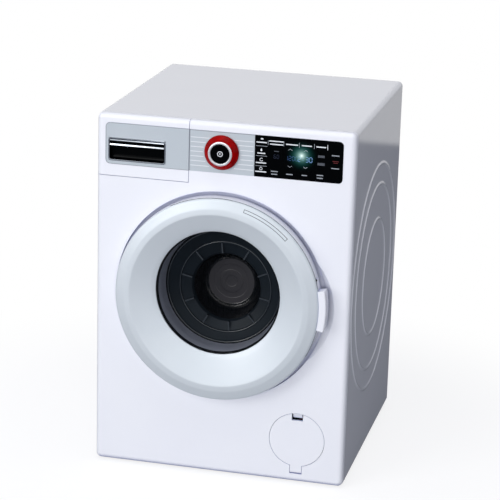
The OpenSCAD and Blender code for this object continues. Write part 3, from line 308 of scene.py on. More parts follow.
# %% Plated chrome, black gloss and smoked clear plastic
# Vacuum plating: a mirror that follows the slight waves of the plastic beneath.
plated_chrome, tree, surface, place = new_material("vacuum_plated_chrome")
set_inputs(tree, surface, {
    "Base Color": linear("#c4cad2"), "Metallic": 1.0, "Roughness": 0.1,
    "Normal": mould_bump(tree, place, 6, 0.5, 0.006, 0.0004)})

# The knob's bezel is plated too, then brushed, so that it stays light from every side.
satin_chrome, tree, surface, place = new_material("satin_plated_chrome")
set_inputs(tree, surface, {
    "Base Color": linear("#eceef2"), "Metallic": 0.75, "Roughness": 0.38,
    "Normal": mould_bump(tree, place, 6, 0.5, 0.004, 0.0004)})

# Polished black acrylic: almost no colour of its own, so what it reflects is what is seen.
black_acrylic, tree, surface, place = new_material("black_polished_acrylic")
set_inputs(tree, surface, {
    "Base Color": linear("#020304"), "Roughness": 0.08, "IOR": 1.49, "Specular IOR Level": 0.05,
    "Normal": mould_bump(tree, place, 18, 0.6, 0.008, 0.0003)})

# Smoked polycarbonate: dark, clear and glossy.  Each wall stops about half of the light, so
# the drum shows faintly, and light reaches it as it does through a real tinted window.
smoked_clear, tree, surface, place = new_material("smoked_polycarbonate")
set_inputs(tree, surface, {
    "Base Color": linear("#0d1014"), "Roughness": 0.05, "IOR": 1.58, "Alpha": 0.7,
    "Specular IOR Level": 0.34,
    "Normal": mould_bump(tree, place, 25, 1.0, 0.01, 0.0002)})

# The same plastic with other surfaces: satin on the ledge and clouded on the bottom disc.
# The wall is a lighter grey, a painted reflection, and the lips and ribs are a paler glossy
# smoke, a painted highlight added to their real reflections.
def smoked(name, low, high, roughness, specular):
    made, tree, surface, place = new_material(name)
    set_inputs(tree, surface, {
        "Base Color": tinted(tree, place, low, high, 13), "Roughness": roughness, "IOR": 1.58,
        "Specular IOR Level": specular,
        "Normal": mould_bump(tree, place, 9, 0.4, 0.01, 0.002)})
    return made


# Painted reflection: the bowl's wall is a lighter grey than the smoked plastic round it.
smoked_wall_painted_reflection = smoked("smoked_polycarbonate_wall_painted_reflection", "#6d717c", "#7f838f", 0.3, 0.5)
smoked_ledge = smoked("smoked_polycarbonate_satin", "#0e1419", "#181f26", 0.5, 0.12)
smoked_disc = smoked("smoked_polycarbonate_clouded", "#232327", "#2e2d31", 0.4, 0.3)
# Painted highlight: the lips and ribs are a paler smoke than the plastic round them.
smoked_painted_highlight = smoked("smoked_polycarbonate_painted_highlight", "#20262c", "#2a3138", 0.12, 0.9)

# Clear red styrene for the light ring, its red laid on in random deep and bright patches a few
# millimetres across: painted shade and painted highlight.
red_styrene, tree, surface, place = new_material("clear_red_styrene")
# Painted highlight and painted shade: bright and dark red in random patches.
set_inputs(tree, surface, {
    "Base Color": tinted(tree, place, "#3a0001", "#c20004", 5), "Roughness": 0.14,
    "IOR": 1.55, "Specular IOR Level": 0.05, "Subsurface Weight": 0.25,
    "Subsurface Radius": (1.0, 0.1, 0.1), "Subsurface Scale": 0.002,
    "Normal": mould_bump(tree, place, 4, 0.6, 0.01, 0.0005)})
print(plated_chrome.name, black_acrylic.name, smoked_clear.name, red_styrene.name)

# %% Plastics, rubber and metals inside
def plain_plastic(name, low, high, roughness, grain_mm, fine, ior=1.5):
    made, tree, surface, place = new_material(name)
    set_inputs(tree, surface, {
        "Base Color": tinted(tree, place, low, high, 15), "Roughness": roughness, "IOR": ior,
        "Normal": mould_bump(tree, place, 10, grain_mm, 0.01, fine)})
    return made


dark_plastic = plain_plastic("spark_textured_black_abs", "#0d0e10", "#131417", 0.55, 0.35, 0.006)
drum_plastic = plain_plastic("silver_grey_polypropylene", "#868b93", "#91969e", 0.4, 0.6, 0.002)
nylon = plain_plastic("natural_nylon", "#e2d6b4", "#e9dfc2", 0.5, 0.6, 0.002, 1.53)
rubber = plain_plastic("grey_moulded_rubber", "#5e6064", "#6a6c70", 0.75, 0.3, 0.008, 1.52)
wire_cover = plain_plastic("red_pvc_insulation", "#8f1814", "#a11d18", 0.45, 0.8, 0.001, 1.54)
clear_epoxy = plain_plastic("clear_epoxy_lens", "#dfe8e6", "#e8efee", 0.12, 0.8, 0.0005, 1.55)


def metal(name, low, high, roughness, scratch_mm, depth):
    made, tree, surface, place = new_material(name)
    drawn = add_node(tree, "ShaderNodeMapping", {"Vector": place, "Scale": (1.0, 1.0, 0.06)})
    scratch = add_node(tree, "ShaderNodeTexNoise", {
        "Vector": drawn.outputs[0], "Scale": 1 / (scratch_mm * MM), "Detail": 3.0})
    spread = add_node(tree, "ShaderNodeMapRange", {
        "Value": scratch.outputs["Fac"], "To Min": roughness - 0.07, "To Max": roughness + 0.07})
    bump = add_node(tree, "ShaderNodeBump", {
        "Height": scratch.outputs["Fac"], "Distance": depth * MM})
    set_inputs(tree, surface, {
        "Base Color": tinted(tree, place, low, high, 8), "Metallic": 1.0,
        "Roughness": spread.outputs[0], "Normal": bump.outputs["Normal"]})
    return made


zinc_steel = metal("bright_zinc_on_steel", "#a9adb3", "#b7babf", 0.3, 0.4, 0.002)
drum_steel = metal("rolled_stainless_steel", "#a5a9af", "#b2b6bb", 0.28, 0.6, 0.002)
turned_brass = metal("turned_brass", "#b08d4a", "#bd9a55", 0.28, 0.3, 0.002)
print(len(bpy.data.materials), "finishes so far")

# %% Circuit board and cell jacket
# Green solder lacquer over copper tracks, which stand a hair above the board.
board_lacquer, tree, surface, place = new_material("green_solder_lacquer")
tracks = add_node(tree, "ShaderNodeTexBrick", {
    "Vector": place, "Scale": 1 / (6 * MM), "Mortar Size": 0.06, "Color1": (0, 0, 0, 1),
    "Color2": (0, 0, 0, 1), "Mortar": (1, 1, 1, 1)})
track_colour = add_node(tree, "ShaderNodeMix", {
    "Factor": tracks.outputs["Fac"], 6: linear("#1d5b38"), 7: linear("#2f7a4c")},
    data_type="RGBA")
set_inputs(tree, surface, {
    "Base Color": track_colour.outputs[2], "Roughness": 0.35,
    "Normal": mould_bump(tree, place, 8, 0.5, 0.004, 0.001)})

# Printed film shrunk on a steel can, with a dark band at one end.
cell_film, tree, surface, place = new_material("shrunk_film_on_cell")
set_inputs(tree, surface, {
    "Base Color": tinted(tree, place, "#b8932f", "#c7a03a", 12), "Metallic": 0.4,
    "Roughness": 0.3, "Normal": mould_bump(tree, place, 6, 0.5, 0.01, 0.0005)})
print(board_lacquer.name, cell_film.name)

# %% [markdown]
# ## Dressing the CAD pieces
#
# A CAD mesh is exact but has knife-sharp edges, and no moulded edge is sharp: it catches a
# thin line of light.  So each piece that shows is a copy of its CAD node with its triangles
# merged, its flat faces made whole again, and a small bevel on the edges.  The copy rides
# on the same body in place of the node, which is hidden.

# %% Which finish each piece has
FINISH = {
    "white_abs": white_abs, "silver_paint": silver_lacquer, "chrome_plating": plated_chrome,
    "smoked_plastic": smoked_clear, "black_gloss": black_acrylic, "dark_plastic": dark_plastic,
    "red_clear": red_styrene, "grey_rubber": rubber, "steel": zinc_steel,
    "drum_grey": drum_plastic, "brass": turned_brass, "circuit_board": board_lacquer,
    "led_clear": clear_epoxy, "natural_nylon": nylon, "cell_jacket": cell_film,
    "wire_cover": wire_cover}
SLOT_OF = {part["node"]: part["material_slot"] for part in frame["record"]["subparts"]}
for node, thing in NODES.items():
    thing.data.materials.clear()
    thing.data.materials.append(FINISH[SLOT_OF[node]])
print({slot: list(SLOT_OF.values()).count(slot) for slot in FINISH})

# %% Make a dressed copy of a node
def dressed(node, bevel_mm=0.25, sharp_deg=32, finish=None):
    source = NODES[node]
    work = bmesh.new()
    work.from_mesh(source.data)
    bmesh.ops.remove_doubles(work, verts=work.verts, dist=2e-6)
    bmesh.ops.dissolve_degenerate(work, edges=work.edges, dist=1e-6)
    bmesh.ops.dissolve_limit(work, angle_limit=math.radians(0.6), verts=work.verts,
                             edges=work.edges, delimit={"NORMAL"})
    shape = bpy.data.meshes.new(node + "_dressed")
    work.to_mesh(shape)
    work.free()
    shape.polygons.foreach_set("use_smooth", [True] * len(shape.polygons))
    shape.set_sharp_from_angle(angle=math.radians(sharp_deg))
    shape.materials.append(finish or FINISH[SLOT_OF[node]])
    piece = bpy.data.objects.new(node + "_dressed", shape)
    scene.collection.objects.link(piece)
    if bevel_mm:
        edge = piece.modifiers.new("soft_edges", "BEVEL")
        edge.width = bevel_mm * MM
        edge.segments = 2
        edge.limit_method = "ANGLE"
        edge.angle_limit = math.radians(sharp_deg)
    flats = piece.modifiers.new("true_flats", "WEIGHTED_NORMAL")
    flats.weight = 100
    flats.keep_sharp = True
    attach(piece, source["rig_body"])
    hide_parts(node)
    return piece


SOFT_EDGES_MM = {
    "cabinet_shell": 0.3, "front_panel": 0.18, "rear_panel": 0.3, "base_plate": 0.3,
    "rubber_feet": 0.5, "drawer_front": 0.12, "service_flap": 0.15, "drain_cap": 0.25}
DRESSED = {
    node: dressed(node, soft, finish=polished_abs if node == "cabinet_shell" else None)
    for node, soft in SOFT_EDGES_MM.items()}
print({n: len(p.data.polygons) for n, p in DRESSED.items()})

# %% [markdown]
# ## The door
#
# The door is a silver ring round a smoked bowl.  The ring is not a plain turned part: its
# opening sits about four millimetres higher than its rim, so the cone between them is wider
# below than above.  A lathe whose circles may each be lifted a little makes both pieces.

# %% A lathe whose circles can be lifted
door_low, door_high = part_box("door_ring")
DOOR_X, DOOR_Z = (door_low.x + door_high.x) / 2, (door_low.z + door_high.z) / 2
GLASS_LIFT = 4.2


def rounded(path, corner_mm, steps=5):
    """The path with each inner corner replaced by a short curve."""
    made = [path[0]]
    for before, corner, after in zip(path, path[1:], path[2:]):
        a, b, c = Vector(before), Vector(corner), Vector(after)
        reach = min(corner_mm, (a - b).length * 0.45, (c - b).length * 0.45)
        start, end = b + (a - b).normalized() * reach, b + (c - b).normalized() * reach
        for i in range(steps + 1):
            t = i / steps
            made.append(tuple(start * (1 - t) ** 2 + b * 2 * t * (1 - t) + end * t * t))
    return made + [path[-1]]


def turned(name, profile, centre, finish, body, nodes=(), around=160, closed=True):
    """profile holds (radius, forward, lift) in mm; centre is the axis (x, z) in metres."""
    work = bmesh.new()
    rings = []
    for radius, forward, lift in profile:
        if radius < 1e-6:
            rings.append([work.verts.new((
                centre[0], FRONT_Y - forward * MM, centre[1] + lift * MM))])
            continue
        rings.append([work.verts.new((
            centre[0] + radius * MM * math.cos(2 * math.pi * k / around),
            FRONT_Y - forward * MM,
            centre[1] + (lift + radius * math.sin(2 * math.pi * k / around)) * MM))
            for k in range(around)])
    pairs = list(zip(rings, rings[1:])) + ([(rings[-1], rings[0])] if closed else [])
    for one, two in pairs:
        if len(one) == 1 and len(two) == 1:
            continue
        for k in range(around):
            n = (k + 1) % around
            if len(one) == 1:
                work.faces.new((one[0], two[k], two[n]))
            elif len(two) == 1:
                work.faces.new((one[k], one[n], two[0]))
            else:
                work.faces.new((one[k], one[n], two[n], two[k]))
    bmesh.ops.recalc_face_normals(work, faces=work.faces)
    shape = bpy.data.meshes.new(name)
    work.to_mesh(shape)
    work.free()
    shape.polygons.foreach_set("use_smooth", [True] * len(shape.polygons))
    shape.set_sharp_from_angle(angle=math.radians(28))
    shape.materials.append(finish)
    piece = bpy.data.objects.new(name, shape)
    scene.collection.objects.link(piece)
    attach(piece, body)
    if nodes:
        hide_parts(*nodes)
    return piece


print("door axis", round(DOOR_X, 4), round(DOOR_Z, 4))

# %% The smoked bowl
# Behind the opening its wall runs back about 12 mm, then a ledge with ribs narrows it to a
# cup with a flat round bottom.  Raised lips at the ledge and round the bottom catch light;
# the ledge lips carry a painted highlight in a paler glossy smoke.
outer = rounded([(44.3, 4.0, 4.2), (43.9, -9.0, 4.2), (42.5, -13.0, 3.7), (35.5, -17.6, 2.4),
                 (26.4, -21.4, 0.9), (21.0, -34.4, 0.2), (17.6, -35.8, 0.0), (0.0, -36.2, 0.0)],
                1.5)
inner = rounded([(0.0, -33.5, 1.2), (4.0, -33.5, 1.2), (4.3, -33.3, 1.2), (8.4, -33.3, 1.2),
                 (8.7, -33.5, 1.2), (12.6, -33.5, 1.2), (12.9, -33.3, 1.2), (16.8, -33.3, 1.2),
                 (17.4, -33.0, 1.2), (18.0, -33.0, 1.2), (18.4, -33.5, 1.1), (19.2, -33.0, 1.0),
                 (21.4, -29.8, 0.8), (23.4, -25.2, 0.7),
                 (24.6, -20.8, 0.8), (25.5, -18.6, 1.0),
                 (32.8, -16.0, 2.0), (33.2, -14.7, 2.1), (33.8, -14.7, 2.2), (34.2, -15.6, 2.3),
                 (40.4, -10.9, 3.6), (40.9, -9.8, 3.7), (41.5, -9.8, 3.8), (42.0, -10.6, 3.9),
                 (42.6, -9.6, 4.0), (43.2, -4.0, 4.2), (43.9, 4.4, 4.2)], 0.5, 4)
rim = [(44.2, 5.1, 4.2), (48.9, 5.1, 4.2), (49.1, 4.9, 4.2), (49.1, 3.5, 4.2), (44.6, 3.4, 4.2)]
path = inner + rim + outer[1:]
bowl = turned("smoked_bowl", path, (DOOR_X, DOOR_Z), smoked_clear, "door",
              ["door_glass"], closed=False)
for finish in (smoked_wall_painted_reflection, smoked_ledge, smoked_disc, smoked_painted_highlight):
    bowl.data.materials.append(finish)
# Material 1 carries the painted reflection on the wall, material 4 the painted highlight on the lips.
SURFACES = [  # from radius, to radius, nearest the front, material number
    (0.0, 17.0, 0.0, 3), (24.5, 33.0, 0.0, 2), (33.0, 34.0, -15.1, 4), (34.0, 40.6, 0.0, 2),
    (40.6, 41.8, -10.2, 4), (42.2, 44.0, 0.0, 1)]
for band, (one, two) in enumerate(zip(inner, inner[1:])):
    radius, forward = (one[0] + two[0]) / 2, (one[1] + two[1]) / 2
    for low, high, front, number in SURFACES:
        if low <= radius < high and (number < 4 or forward > front) and (
                number != 1 or forward > -9.5):
            for face in bowl.data.polygons[band * 160:(band + 1) * 160]:
                face.material_index = number
print("bowl", len(bowl.data.polygons), "faces")

# %% The silver ring
# From the opening up the cone to the crest, out over the band, down the rim, and back
# along the hollow underside.  A shallow dash is pressed into the band at the upper right;
# its shade is painted as thin dark lines along its edges, and a dark line of painted shadow
# runs round the seam where the ring meets the white frame.
GROOVE_IN, GROOVE_OUT, GROOVE_START, GROOVE_END = 68.9, 71.3, 45.0, 74.5
crest = [(45.2, 6.2, 4.2), (45.2, 7.1, 4.2), (45.7, 7.55, 4.1), (49.0, 8.85, 3.37),
         (54.0, 10.72, 2.2), (59.0, 12.58, 1.0), (62.4, 13.82, 0.15), (62.9, 13.98, 0.02),
         (63.3, 13.99, 0.0), (65.0, 13.86, 0.0), (66.4, 13.68, 0.0)]
band = [(r, 13.6 - (r - 67.0) * 0.34, 0.0) for r in (66.9, 67.9, 68.0, 68.1, 68.4, 68.5, 69.6,
                                                     70.7, 70.8, 71.1, 71.2, 71.3, 71.7)]
rim_path = [(72.4, 11.8, 0.0), (73.1, 11.45, 0.0), (73.6, 10.95, 0.0), (73.8, 10.4, 0.0),
            (73.8, 9.32, 0.0), (71.8, 9.32, 0.0), (71.8, 10.2, 0.0), (66.0, 12.0, 0.0),
            (63.0, 12.2, 0.0), (55.0, 9.2, 2.0), (49.5, 7.2, 3.3), (48.0, 6.2, 3.7)]
ring = turned("silver_door_ring", crest + band + rim_path, (DOOR_X, DOOR_Z), silver_lacquer,
              "door", ["door_ring"], around=360)


def band_forward(radius):
    return 13.6 - (radius - 67.0) * 0.34 + 0.03


def groove_strip(r0, r1, a0, a1, steps):
    turns = [math.radians(a0 + (a1 - a0) * i / steps) for i in range(steps + 1)]
    return [[(r * math.cos(t), band_forward(r), r * math.sin(t))
             for r, t in ((r0, a), (r1, a), (r1, b), (r0, b))] for a, b in zip(turns, turns[1:])]


LINE = 0.38
line_turn = math.degrees(LINE / GROOVE_IN)
strips = groove_strip(GROOVE_IN, GROOVE_IN + LINE, GROOVE_START, GROOVE_END, 40)
strips += groove_strip(GROOVE_OUT - LINE, GROOVE_OUT, GROOVE_START, GROOVE_END, 40)
strips += groove_strip(GROOVE_IN, GROOVE_OUT, GROOVE_START, GROOVE_START + line_turn, 2)
strips += groove_strip(GROOVE_IN, GROOVE_OUT, GROOVE_END - line_turn, GROOVE_END, 2)
# Painted shadow: a dark strip along the seam between the ring and the white frame.
frame_forward = 9.34
seam_turns = [math.radians(-28 + 146 * k / 90) for k in range(91)]
strips += [[(r * math.cos(t), frame_forward, r * math.sin(t))
            for r, t in ((73.8, a), (74.12, a), (74.12, b), (73.8, b))]
           for a, b in zip(seam_turns, seam_turns[1:])]
work = bmesh.new()
for strip in strips:
    work.faces.new([work.verts.new((DOOR_X + x * MM, FRONT_Y - f * MM, DOOR_Z + z * MM))
                    for x, f, z in reversed(strip)])
groove = bpy.data.meshes.new("ring_groove_and_seam_shade")
work.to_mesh(groove)
work.free()
# The dark lines are painted shade of the dash and painted shadow of the seam.
groove_and_seam_shade_paint, tree, surface, place = new_material("painted_groove_and_seam_shade")
set_inputs(tree, surface, {
    "Base Color": tinted(tree, place, "#4d545c", "#5d646c", 4), "Roughness": 0.6})
groove.materials.append(groove_and_seam_shade_paint)
groove_and_seam_shade_lines = bpy.data.objects.new("ring_groove_and_seam_shade", groove)
scene.collection.objects.link(groove_and_seam_shade_lines)
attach(groove_and_seam_shade_lines, "door")
print("ring", len(ring.data.polygons), "faces")

# %% Frame, handle, seal and the drum behind
for node, soft in {"door_frame": 0.25, "door_handle": 0.5, "glass_clamp": 0.2, "tub_front": 0.3,
                   "door_seal": 0.2, "drum_lifters": 0.6, "hinge_bracket": 0.2}.items():
    DRESSED[node] = dressed(node, soft)
for node in ("drum_shell", "drum_back"):
    DRESSED[node] = dressed(node, 0.15, finish=drum_steel)
print("dressed", len(DRESSED))

# %% [markdown]
# ## The control panel
#
# Left to right: the drawer's silver plate with its finger recess, the red knob round the
# black push button, and the display.  The photo shows short lines fanned round the knob and
# small marks behind the display.  They are printed, so they are thin shapes lying a few
# hundredths of a millimetre above the surface.  Words become plain bars, and numbers stay
# plain numbers.

# %% Trims, lens and small plates
for node, soft in {"display_lens": 0.15, "drawer_tray": 0.3, "drawer_housing": 0.2}.items():
    DRESSED[node] = dressed(node, soft)
for node in ("drawer_trim", "control_trim"):
    DRESSED[node] = dressed(node, 0.12, finish=strip_lacquer)
knob_low, knob_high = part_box("knob_bezel")
KNOB = ((knob_low.x + knob_high.x) / 2, (knob_low.z + knob_high.z) / 2)
print("knob axis", [round(v * 1000, 1) for v in KNOB])

# %% The red ring, its bezel and the button
red_ring = turned("knob_light_ring", rounded([
    (8.2, 0.35, 0), (12.1, 0.35, 0), (12.42, 0.8, 0), (12.1, 2.0, 0), (9.6, 4.5, 0),
    (8.9, 4.98, 0), (8.2, 4.98, 0), (8.2, 0.35, 0)], 0.6, 4), KNOB, red_styrene,
    "knob", ["knob_ring"], around=128, closed=False)
bezel = turned("knob_bezel_plated", rounded([
    (6.9, -6.2, 0), (7.4, -6.2, 0), (7.4, 0.3, 0), (8.1, 0.3, 0), (8.1, 5.0, 0),
    (8.6, 5.0, 0), (8.6, 5.55, 0), (8.15, 6.0, 0), (7.2, 6.0, 0), (6.9, 5.6, 0),
    (6.9, -6.2, 0)], 0.3, 4), KNOB, satin_chrome, "knob",
    ["knob_bezel"], around=128, closed=False)
button = turned("push_button", rounded([
    (0, 5.15, 0), (3.5, 5.2, 0), (6.4, 5.4, 0), (6.8, 5.0, 0), (6.8, 3.6, 0), (2.2, 3.6, 0),
    (2.2, -4.2, 0), (0, -4.2, 0)], 0.35, 4), KNOB, black_acrylic, "button",
    ["power_button"], around=96, closed=False)
print("knob", len(red_ring.data.polygons), len(bezel.data.polygons), len(button.data.polygons))

# %% A lathe for rounded rectangles
def framed(name, x, z, corner, profile, finish, body, nodes=(), cap=True, steps=8):
    """profile holds (inset, forward) in mm; x and z are (low, high) in mm."""
    work = bmesh.new()
    loops = []
    for inset, forward in profile:
        radius = max(corner - inset, 0.15)
        loop = []
        for k, (sx, sz) in enumerate(((1, 1), (-1, 1), (-1, -1), (1, -1))):
            cx = (x[1] if sx > 0 else x[0]) - sx * (inset + radius)
            cz = (z[1] if sz > 0 else z[0]) - sz * (inset + radius)
            for i in range(steps + 1):
                turn = math.radians(90 * (k + i / steps))
                loop.append(work.verts.new((
                    (cx + radius * math.cos(turn)) * MM, FRONT_Y - forward * MM,
                    (cz + radius * math.sin(turn)) * MM)))
        loops.append(loop)
    for one, two in zip(loops, loops[1:]):
        for k in range(len(one)):
            n = (k + 1) % len(one)
            work.faces.new((one[k], one[n], two[n], two[k]))
    if cap:
        work.faces.new(loops[0])
        work.faces.new(loops[-1])
    bmesh.ops.remove_doubles(work, verts=work.verts, dist=1e-7)
    bmesh.ops.recalc_face_normals(work, faces=work.faces)
    return finished(name, work, finish, body, nodes, 28)


def finished(name, work, finish, body, nodes=(), sharp_deg=28):
    shape = bpy.data.meshes.new(name)
    work.to_mesh(shape)
    work.free()
    shape.polygons.foreach_set("use_smooth", [True] * len(shape.polygons))
    shape.set_sharp_from_angle(angle=math.radians(sharp_deg))
    shape.materials.append(finish)
    piece = bpy.data.objects.new(name, shape)
    scene.collection.objects.link(piece)
    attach(piece, body)
    if nodes:
        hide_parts(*nodes)
    return piece


# %% The finger recess
# A gloss black cup with a thin plated rim, and across its top the bar that is pulled.
GRIP_X, GRIP_Z = (-83.9, -42.6), (228.1, 244.4)
cup = framed("finger_cup", GRIP_X, GRIP_Z, 1.8, [
    (0.3, -5.2), (0.3, 0.1), (0.5, 0.3), (1.0, 0.3), (1.15, 0.1), (1.2, -2.6), (1.6, -3.6),
    (2.6, -4.1), (4.0, -4.2)], black_acrylic, "drawer", ["drawer_grip_cup"])
rim = framed("finger_cup_rim", GRIP_X, GRIP_Z, 1.8, [
    (-0.3, 0.2), (-0.3, 0.42), (-0.15, 0.55), (0.45, 0.55), (0.6, 0.42), (0.6, 0.2),
    (-0.3, 0.2)], plated_chrome, "drawer", cap=False)
BAR_X = (-82.9, -43.6)


def bar_along_x(name, outline, finish, nodes=()):
    """outline holds (forward, z) in mm, the section of a bar from end to end of BAR_X."""
    work = bmesh.new()
    ends = [[work.verts.new((x * MM, FRONT_Y - f * MM, z * MM)) for f, z in outline]
            for x in BAR_X]
    for k in range(len(outline)):
        n = (k + 1) % len(outline)
        work.faces.new((ends[0][k], ends[0][n], ends[1][n], ends[1][k]))
    for end in ends:
        work.faces.new(end)
    bmesh.ops.recalc_face_normals(work, faces=work.faces)
    return finished(name, work, finish, "drawer", nodes, 40)


grip_bar = bar_along_x("pull_bar", [
    (-2.4, 238.9), (-2.4, 243.3), (0.0, 243.35), (0.85, 242.6), (0.85, 242.4), (0.3, 242.3),
    (0.3, 240.1), (0.85, 239.3), (0.85, 239.05), (0.4, 238.75), (-1.8, 238.7)],
    plated_chrome, ["drawer_grip_bar"])
grip_band = bar_along_x("pull_bar_band", [
    (0.28, 240.0), (0.28, 242.35), (0.5, 242.3), (0.55, 241.8), (0.55, 240.5), (0.45, 240.05)],
    black_acrylic)
print("recess", len(cup.data.polygons), len(rim.data.polygons))

# %% [markdown]
# ### Printed marks
#
# A mark is a flat outline in millimetres.  Small functions make the outlines, one function
# lays a list of them on a surface.  Seven-segment digits are bars too, picked by a table.

# %% Inks and lights
def ink(name, colour, roughness=0.45):
    made, tree, surface, place = new_material(name)
    set_inputs(tree, surface, {
        "Base Color": tinted(tree, place, colour, colour, 2), "Roughness": roughness,
        "Normal": mould_bump(tree, place, 5, 0.3, 0.002, 0.0004)})
    return made


def lit(name, colour, strength):
    made, tree, surface, place = new_material(name)
    set_inputs(tree, surface, {
        "Base Color": linear("#050608"), "Emission Color": linear(colour),
        "Emission Strength": strength, "Roughness": 0.3})
    return made


white_ink = ink("white_screen_print", "#dfe3e8")
pale_ink = ink("pale_grey_screen_print", "#9aa0a8")
grey_ink = ink("grey_screen_print", "#4a4f57")
bright_digits = lit("bright_blue_digits", "#7fa8e8", 0.8)
dim_digits = lit("dim_blue_digits", "#3d63a8", 0.45)
faint_digits = lit("faint_blue_digits", "#1c2c50", 0.35)
red_sign = lit("dim_red_sign", "#8c2c30", 0.4)
print("inks and lights ready")

# %% Outlines of marks
def bar(x, z, width, height):
    return [[(x - width / 2, z - height / 2), (x + width / 2, z - height / 2),
             (x + width / 2, z + height / 2), (x - width / 2, z + height / 2)]]


def arc(x, z, outer, inner, start=0, end=360, steps=36):
    turns = [math.radians(start + (end - start) * i / steps) for i in range(steps + 1)]
    return [[(x + r * math.cos(t), z + r * math.sin(t))
             for r, t in ((inner, a), (outer, a), (outer, b), (inner, b))]
            for a, b in zip(turns, turns[1:])]


def chevron(x, z, half, rise, thick):
    return [[(x - half, z), (x, z + rise), (x, z + rise + thick), (x - half, z + thick)],
            [(x, z + rise), (x + half, z), (x + half, z + thick), (x, z + rise + thick)]]


def drop(x, z, size):
    turns = [math.radians(150 + 240 * i / 16) for i in range(17)]
    return [[(x, z + size)] + [(x + size * 0.5 * math.cos(t), z - size * 0.1 +
                                size * 0.5 * math.sin(t)) for t in turns]]


SEGMENTS = {"0": "abcdef", "1": "bc", "2": "abged", "3": "abgcd", "4": "fgbc", "5": "afgcd",
            "6": "afgedc", "7": "abc", "8": "abcdefg", "9": "abcdfg"}


def digits(x, z, text, height, thick=0.42):
    """Seven-segment digits, centred on (x, z)."""
    made, width = [], height * 0.52
    pitch = width + thick * 2.2
    at = x - pitch * (len(text) - 1) / 2
    for sign in text:
        if sign == ":":
            made += bar(at, z + height * 0.2, thick, thick) + bar(
                at, z - height * 0.2, thick, thick)
        else:
            h, w, t = height / 2, width / 2, thick
            place_of = {
                "a": (at, z + h, width - t, t), "g": (at, z, width - t, t),
                "d": (at, z - h, width - t, t), "f": (at - w, z + h / 2, t, h - t),
                "b": (at + w, z + h / 2, t, h - t), "e": (at - w, z - h / 2, t, h - t),
                "c": (at + w, z - h / 2, t, h - t)}
            for segment in SEGMENTS[sign]:
                made += bar(*place_of[segment])
        at += pitch
    return made


def printed(name, outlines, forward, finish, body="cabinet"):
    work = bmesh.new()
    for outline in outlines:
        work.faces.new([work.verts.new((x * MM, FRONT_Y - forward * MM, z * MM))
                        for x, z in outline])
    bmesh.ops.recalc_face_normals(work, faces=work.faces)
    for face in work.faces:
        if face.normal.y > 0:
            face.normal_flip()
    return finished(name, work, finish, body)


print(len(digits(0, 0, "12:30", 4)), "bars in a time")

# %% Marks of the display
DISPLAY_FORWARD = 0.4 + 0.02
words = bar(26.2, 250.1, 7.4, 0.8) + bar(26.1, 242.4, 5.6, 0.8) + bar(26.1, 235.6, 7.4, 0.8)
words += bar(26.1, 229.3, 7.8, 0.8) + bar(26.4, 252.6, 1.8, 0.9)
words += drop(26.1, 244.7, 1.3) + arc(26.3, 237.9, 1.25, 0.85, 40, 340)
words += arc(26.1, 231.4, 1.1, 0.75) + bar(26.1, 232.6, 0.4, 0.9)
dividers = [shape for z in (247.5, 240.5, 233.4) for shape in bar(26.3, z, 8.0, 0.28)]
dividers += [shape for x in (30.8, 41.8, 52.7, 63.2) for shape in bar(x, 250.3, 0.3, 3.4)]
headers = bar(36.5, 251.6, 10.0, 0.8) + bar(36.7, 249.4, 9.4, 0.8) + bar(47.6, 250.2, 8.4, 0.8)
headers += bar(57.9, 250.2, 7.2, 0.8) + bar(68.0, 250.2, 6.8, 0.8) + bar(72.5, 250.3, 0.4, 3.6)
chevrons = [shape for x, low, high in ((46.5, 234.0, 246.0), (57.4, 234.2, 246.0))
            for shape in chevron(x, high, 1.4, 0.9, 0.35) + chevron(x, low + 0.9, 1.4, -0.9, 0.35)]
lower = bar(35.7, 230.3, 4.8, 0.7) + bar(35.7, 228.3, 4.4, 0.7) + bar(46.4, 229.1, 4.6, 0.7)
lower += bar(56.9, 229.3, 3.8, 0.7) + bar(67.8, 230.3, 4.6, 0.7) + bar(67.8, 228.3, 4.2, 0.7)
lower += bar(78.2, 245.0, 5.2, 0.7) + bar(78.2, 236.0, 5.4, 0.7)
faint = bar(68.3, 243.6, 4.6, 1.6) + bar(68.3, 238.2, 5.0, 1.8) + bar(36.8, 244.6, 3.4, 0.5)
printed("display_labels", words + headers, DISPLAY_FORWARD, white_ink)
printed("display_lines", dividers + chevrons + lower, DISPLAY_FORWARD, pale_ink)
printed("display_groups", faint, DISPLAY_FORWARD, grey_ink)
printed("digits_speed", digits(47.6, 240.5, "1200", 3.0, 0.36), DISPLAY_FORWARD, dim_digits)
printed("digits_time", digits(57.0, 240.5, "2:30", 3.4, 0.42), DISPLAY_FORWARD, bright_digits)
printed("digits_heat", digits(36.8, 240.8, "60", 2.6, 0.36), DISPLAY_FORWARD, faint_digits)
printed("display_red_sign", bar(78.4, 241.0, 4.4, 0.5) + bar(78.4, 239.9, 3.0, 0.5),
        DISPLAY_FORWARD, red_sign)
printed("button_symbol", arc(KNOB[0] / MM, KNOB[1] / MM, 2.0, 1.5) + bar(
    KNOB[0] / MM, KNOB[1] / MM + 0.1, 0.6, 1.7), 5.24, white_ink, "button")

# A fine grey line edges the silver plates: painted shade of the small step where the plate meets the
# white.
plate_edge_shade_ink = ink("painted_plate_edge_shade", "#8d929b")
plate_edge = bar(-54.0, 254.95, 57.0, 0.4) + bar(-54.0, 225.6, 57.0, 0.4)
plate_edge += bar(-85.95, 240.3, 0.45, 23.4)
plate_edge += arc(-82.95, 251.95, 3.2, 2.8, 90, 180, 8) + arc(-82.95, 228.6, 3.2, 2.8, 180, 270, 8)
printed("drawer_plate_edge", plate_edge, 0.24, plate_edge_shade_ink, "drawer")
printed("panel_plate_edge", bar(-1.9, 254.75, 46.6, 0.5) + bar(-25.1, 240.2, 0.5, 29.0), 0.24,
        plate_edge_shade_ink)
print("marks on the display")

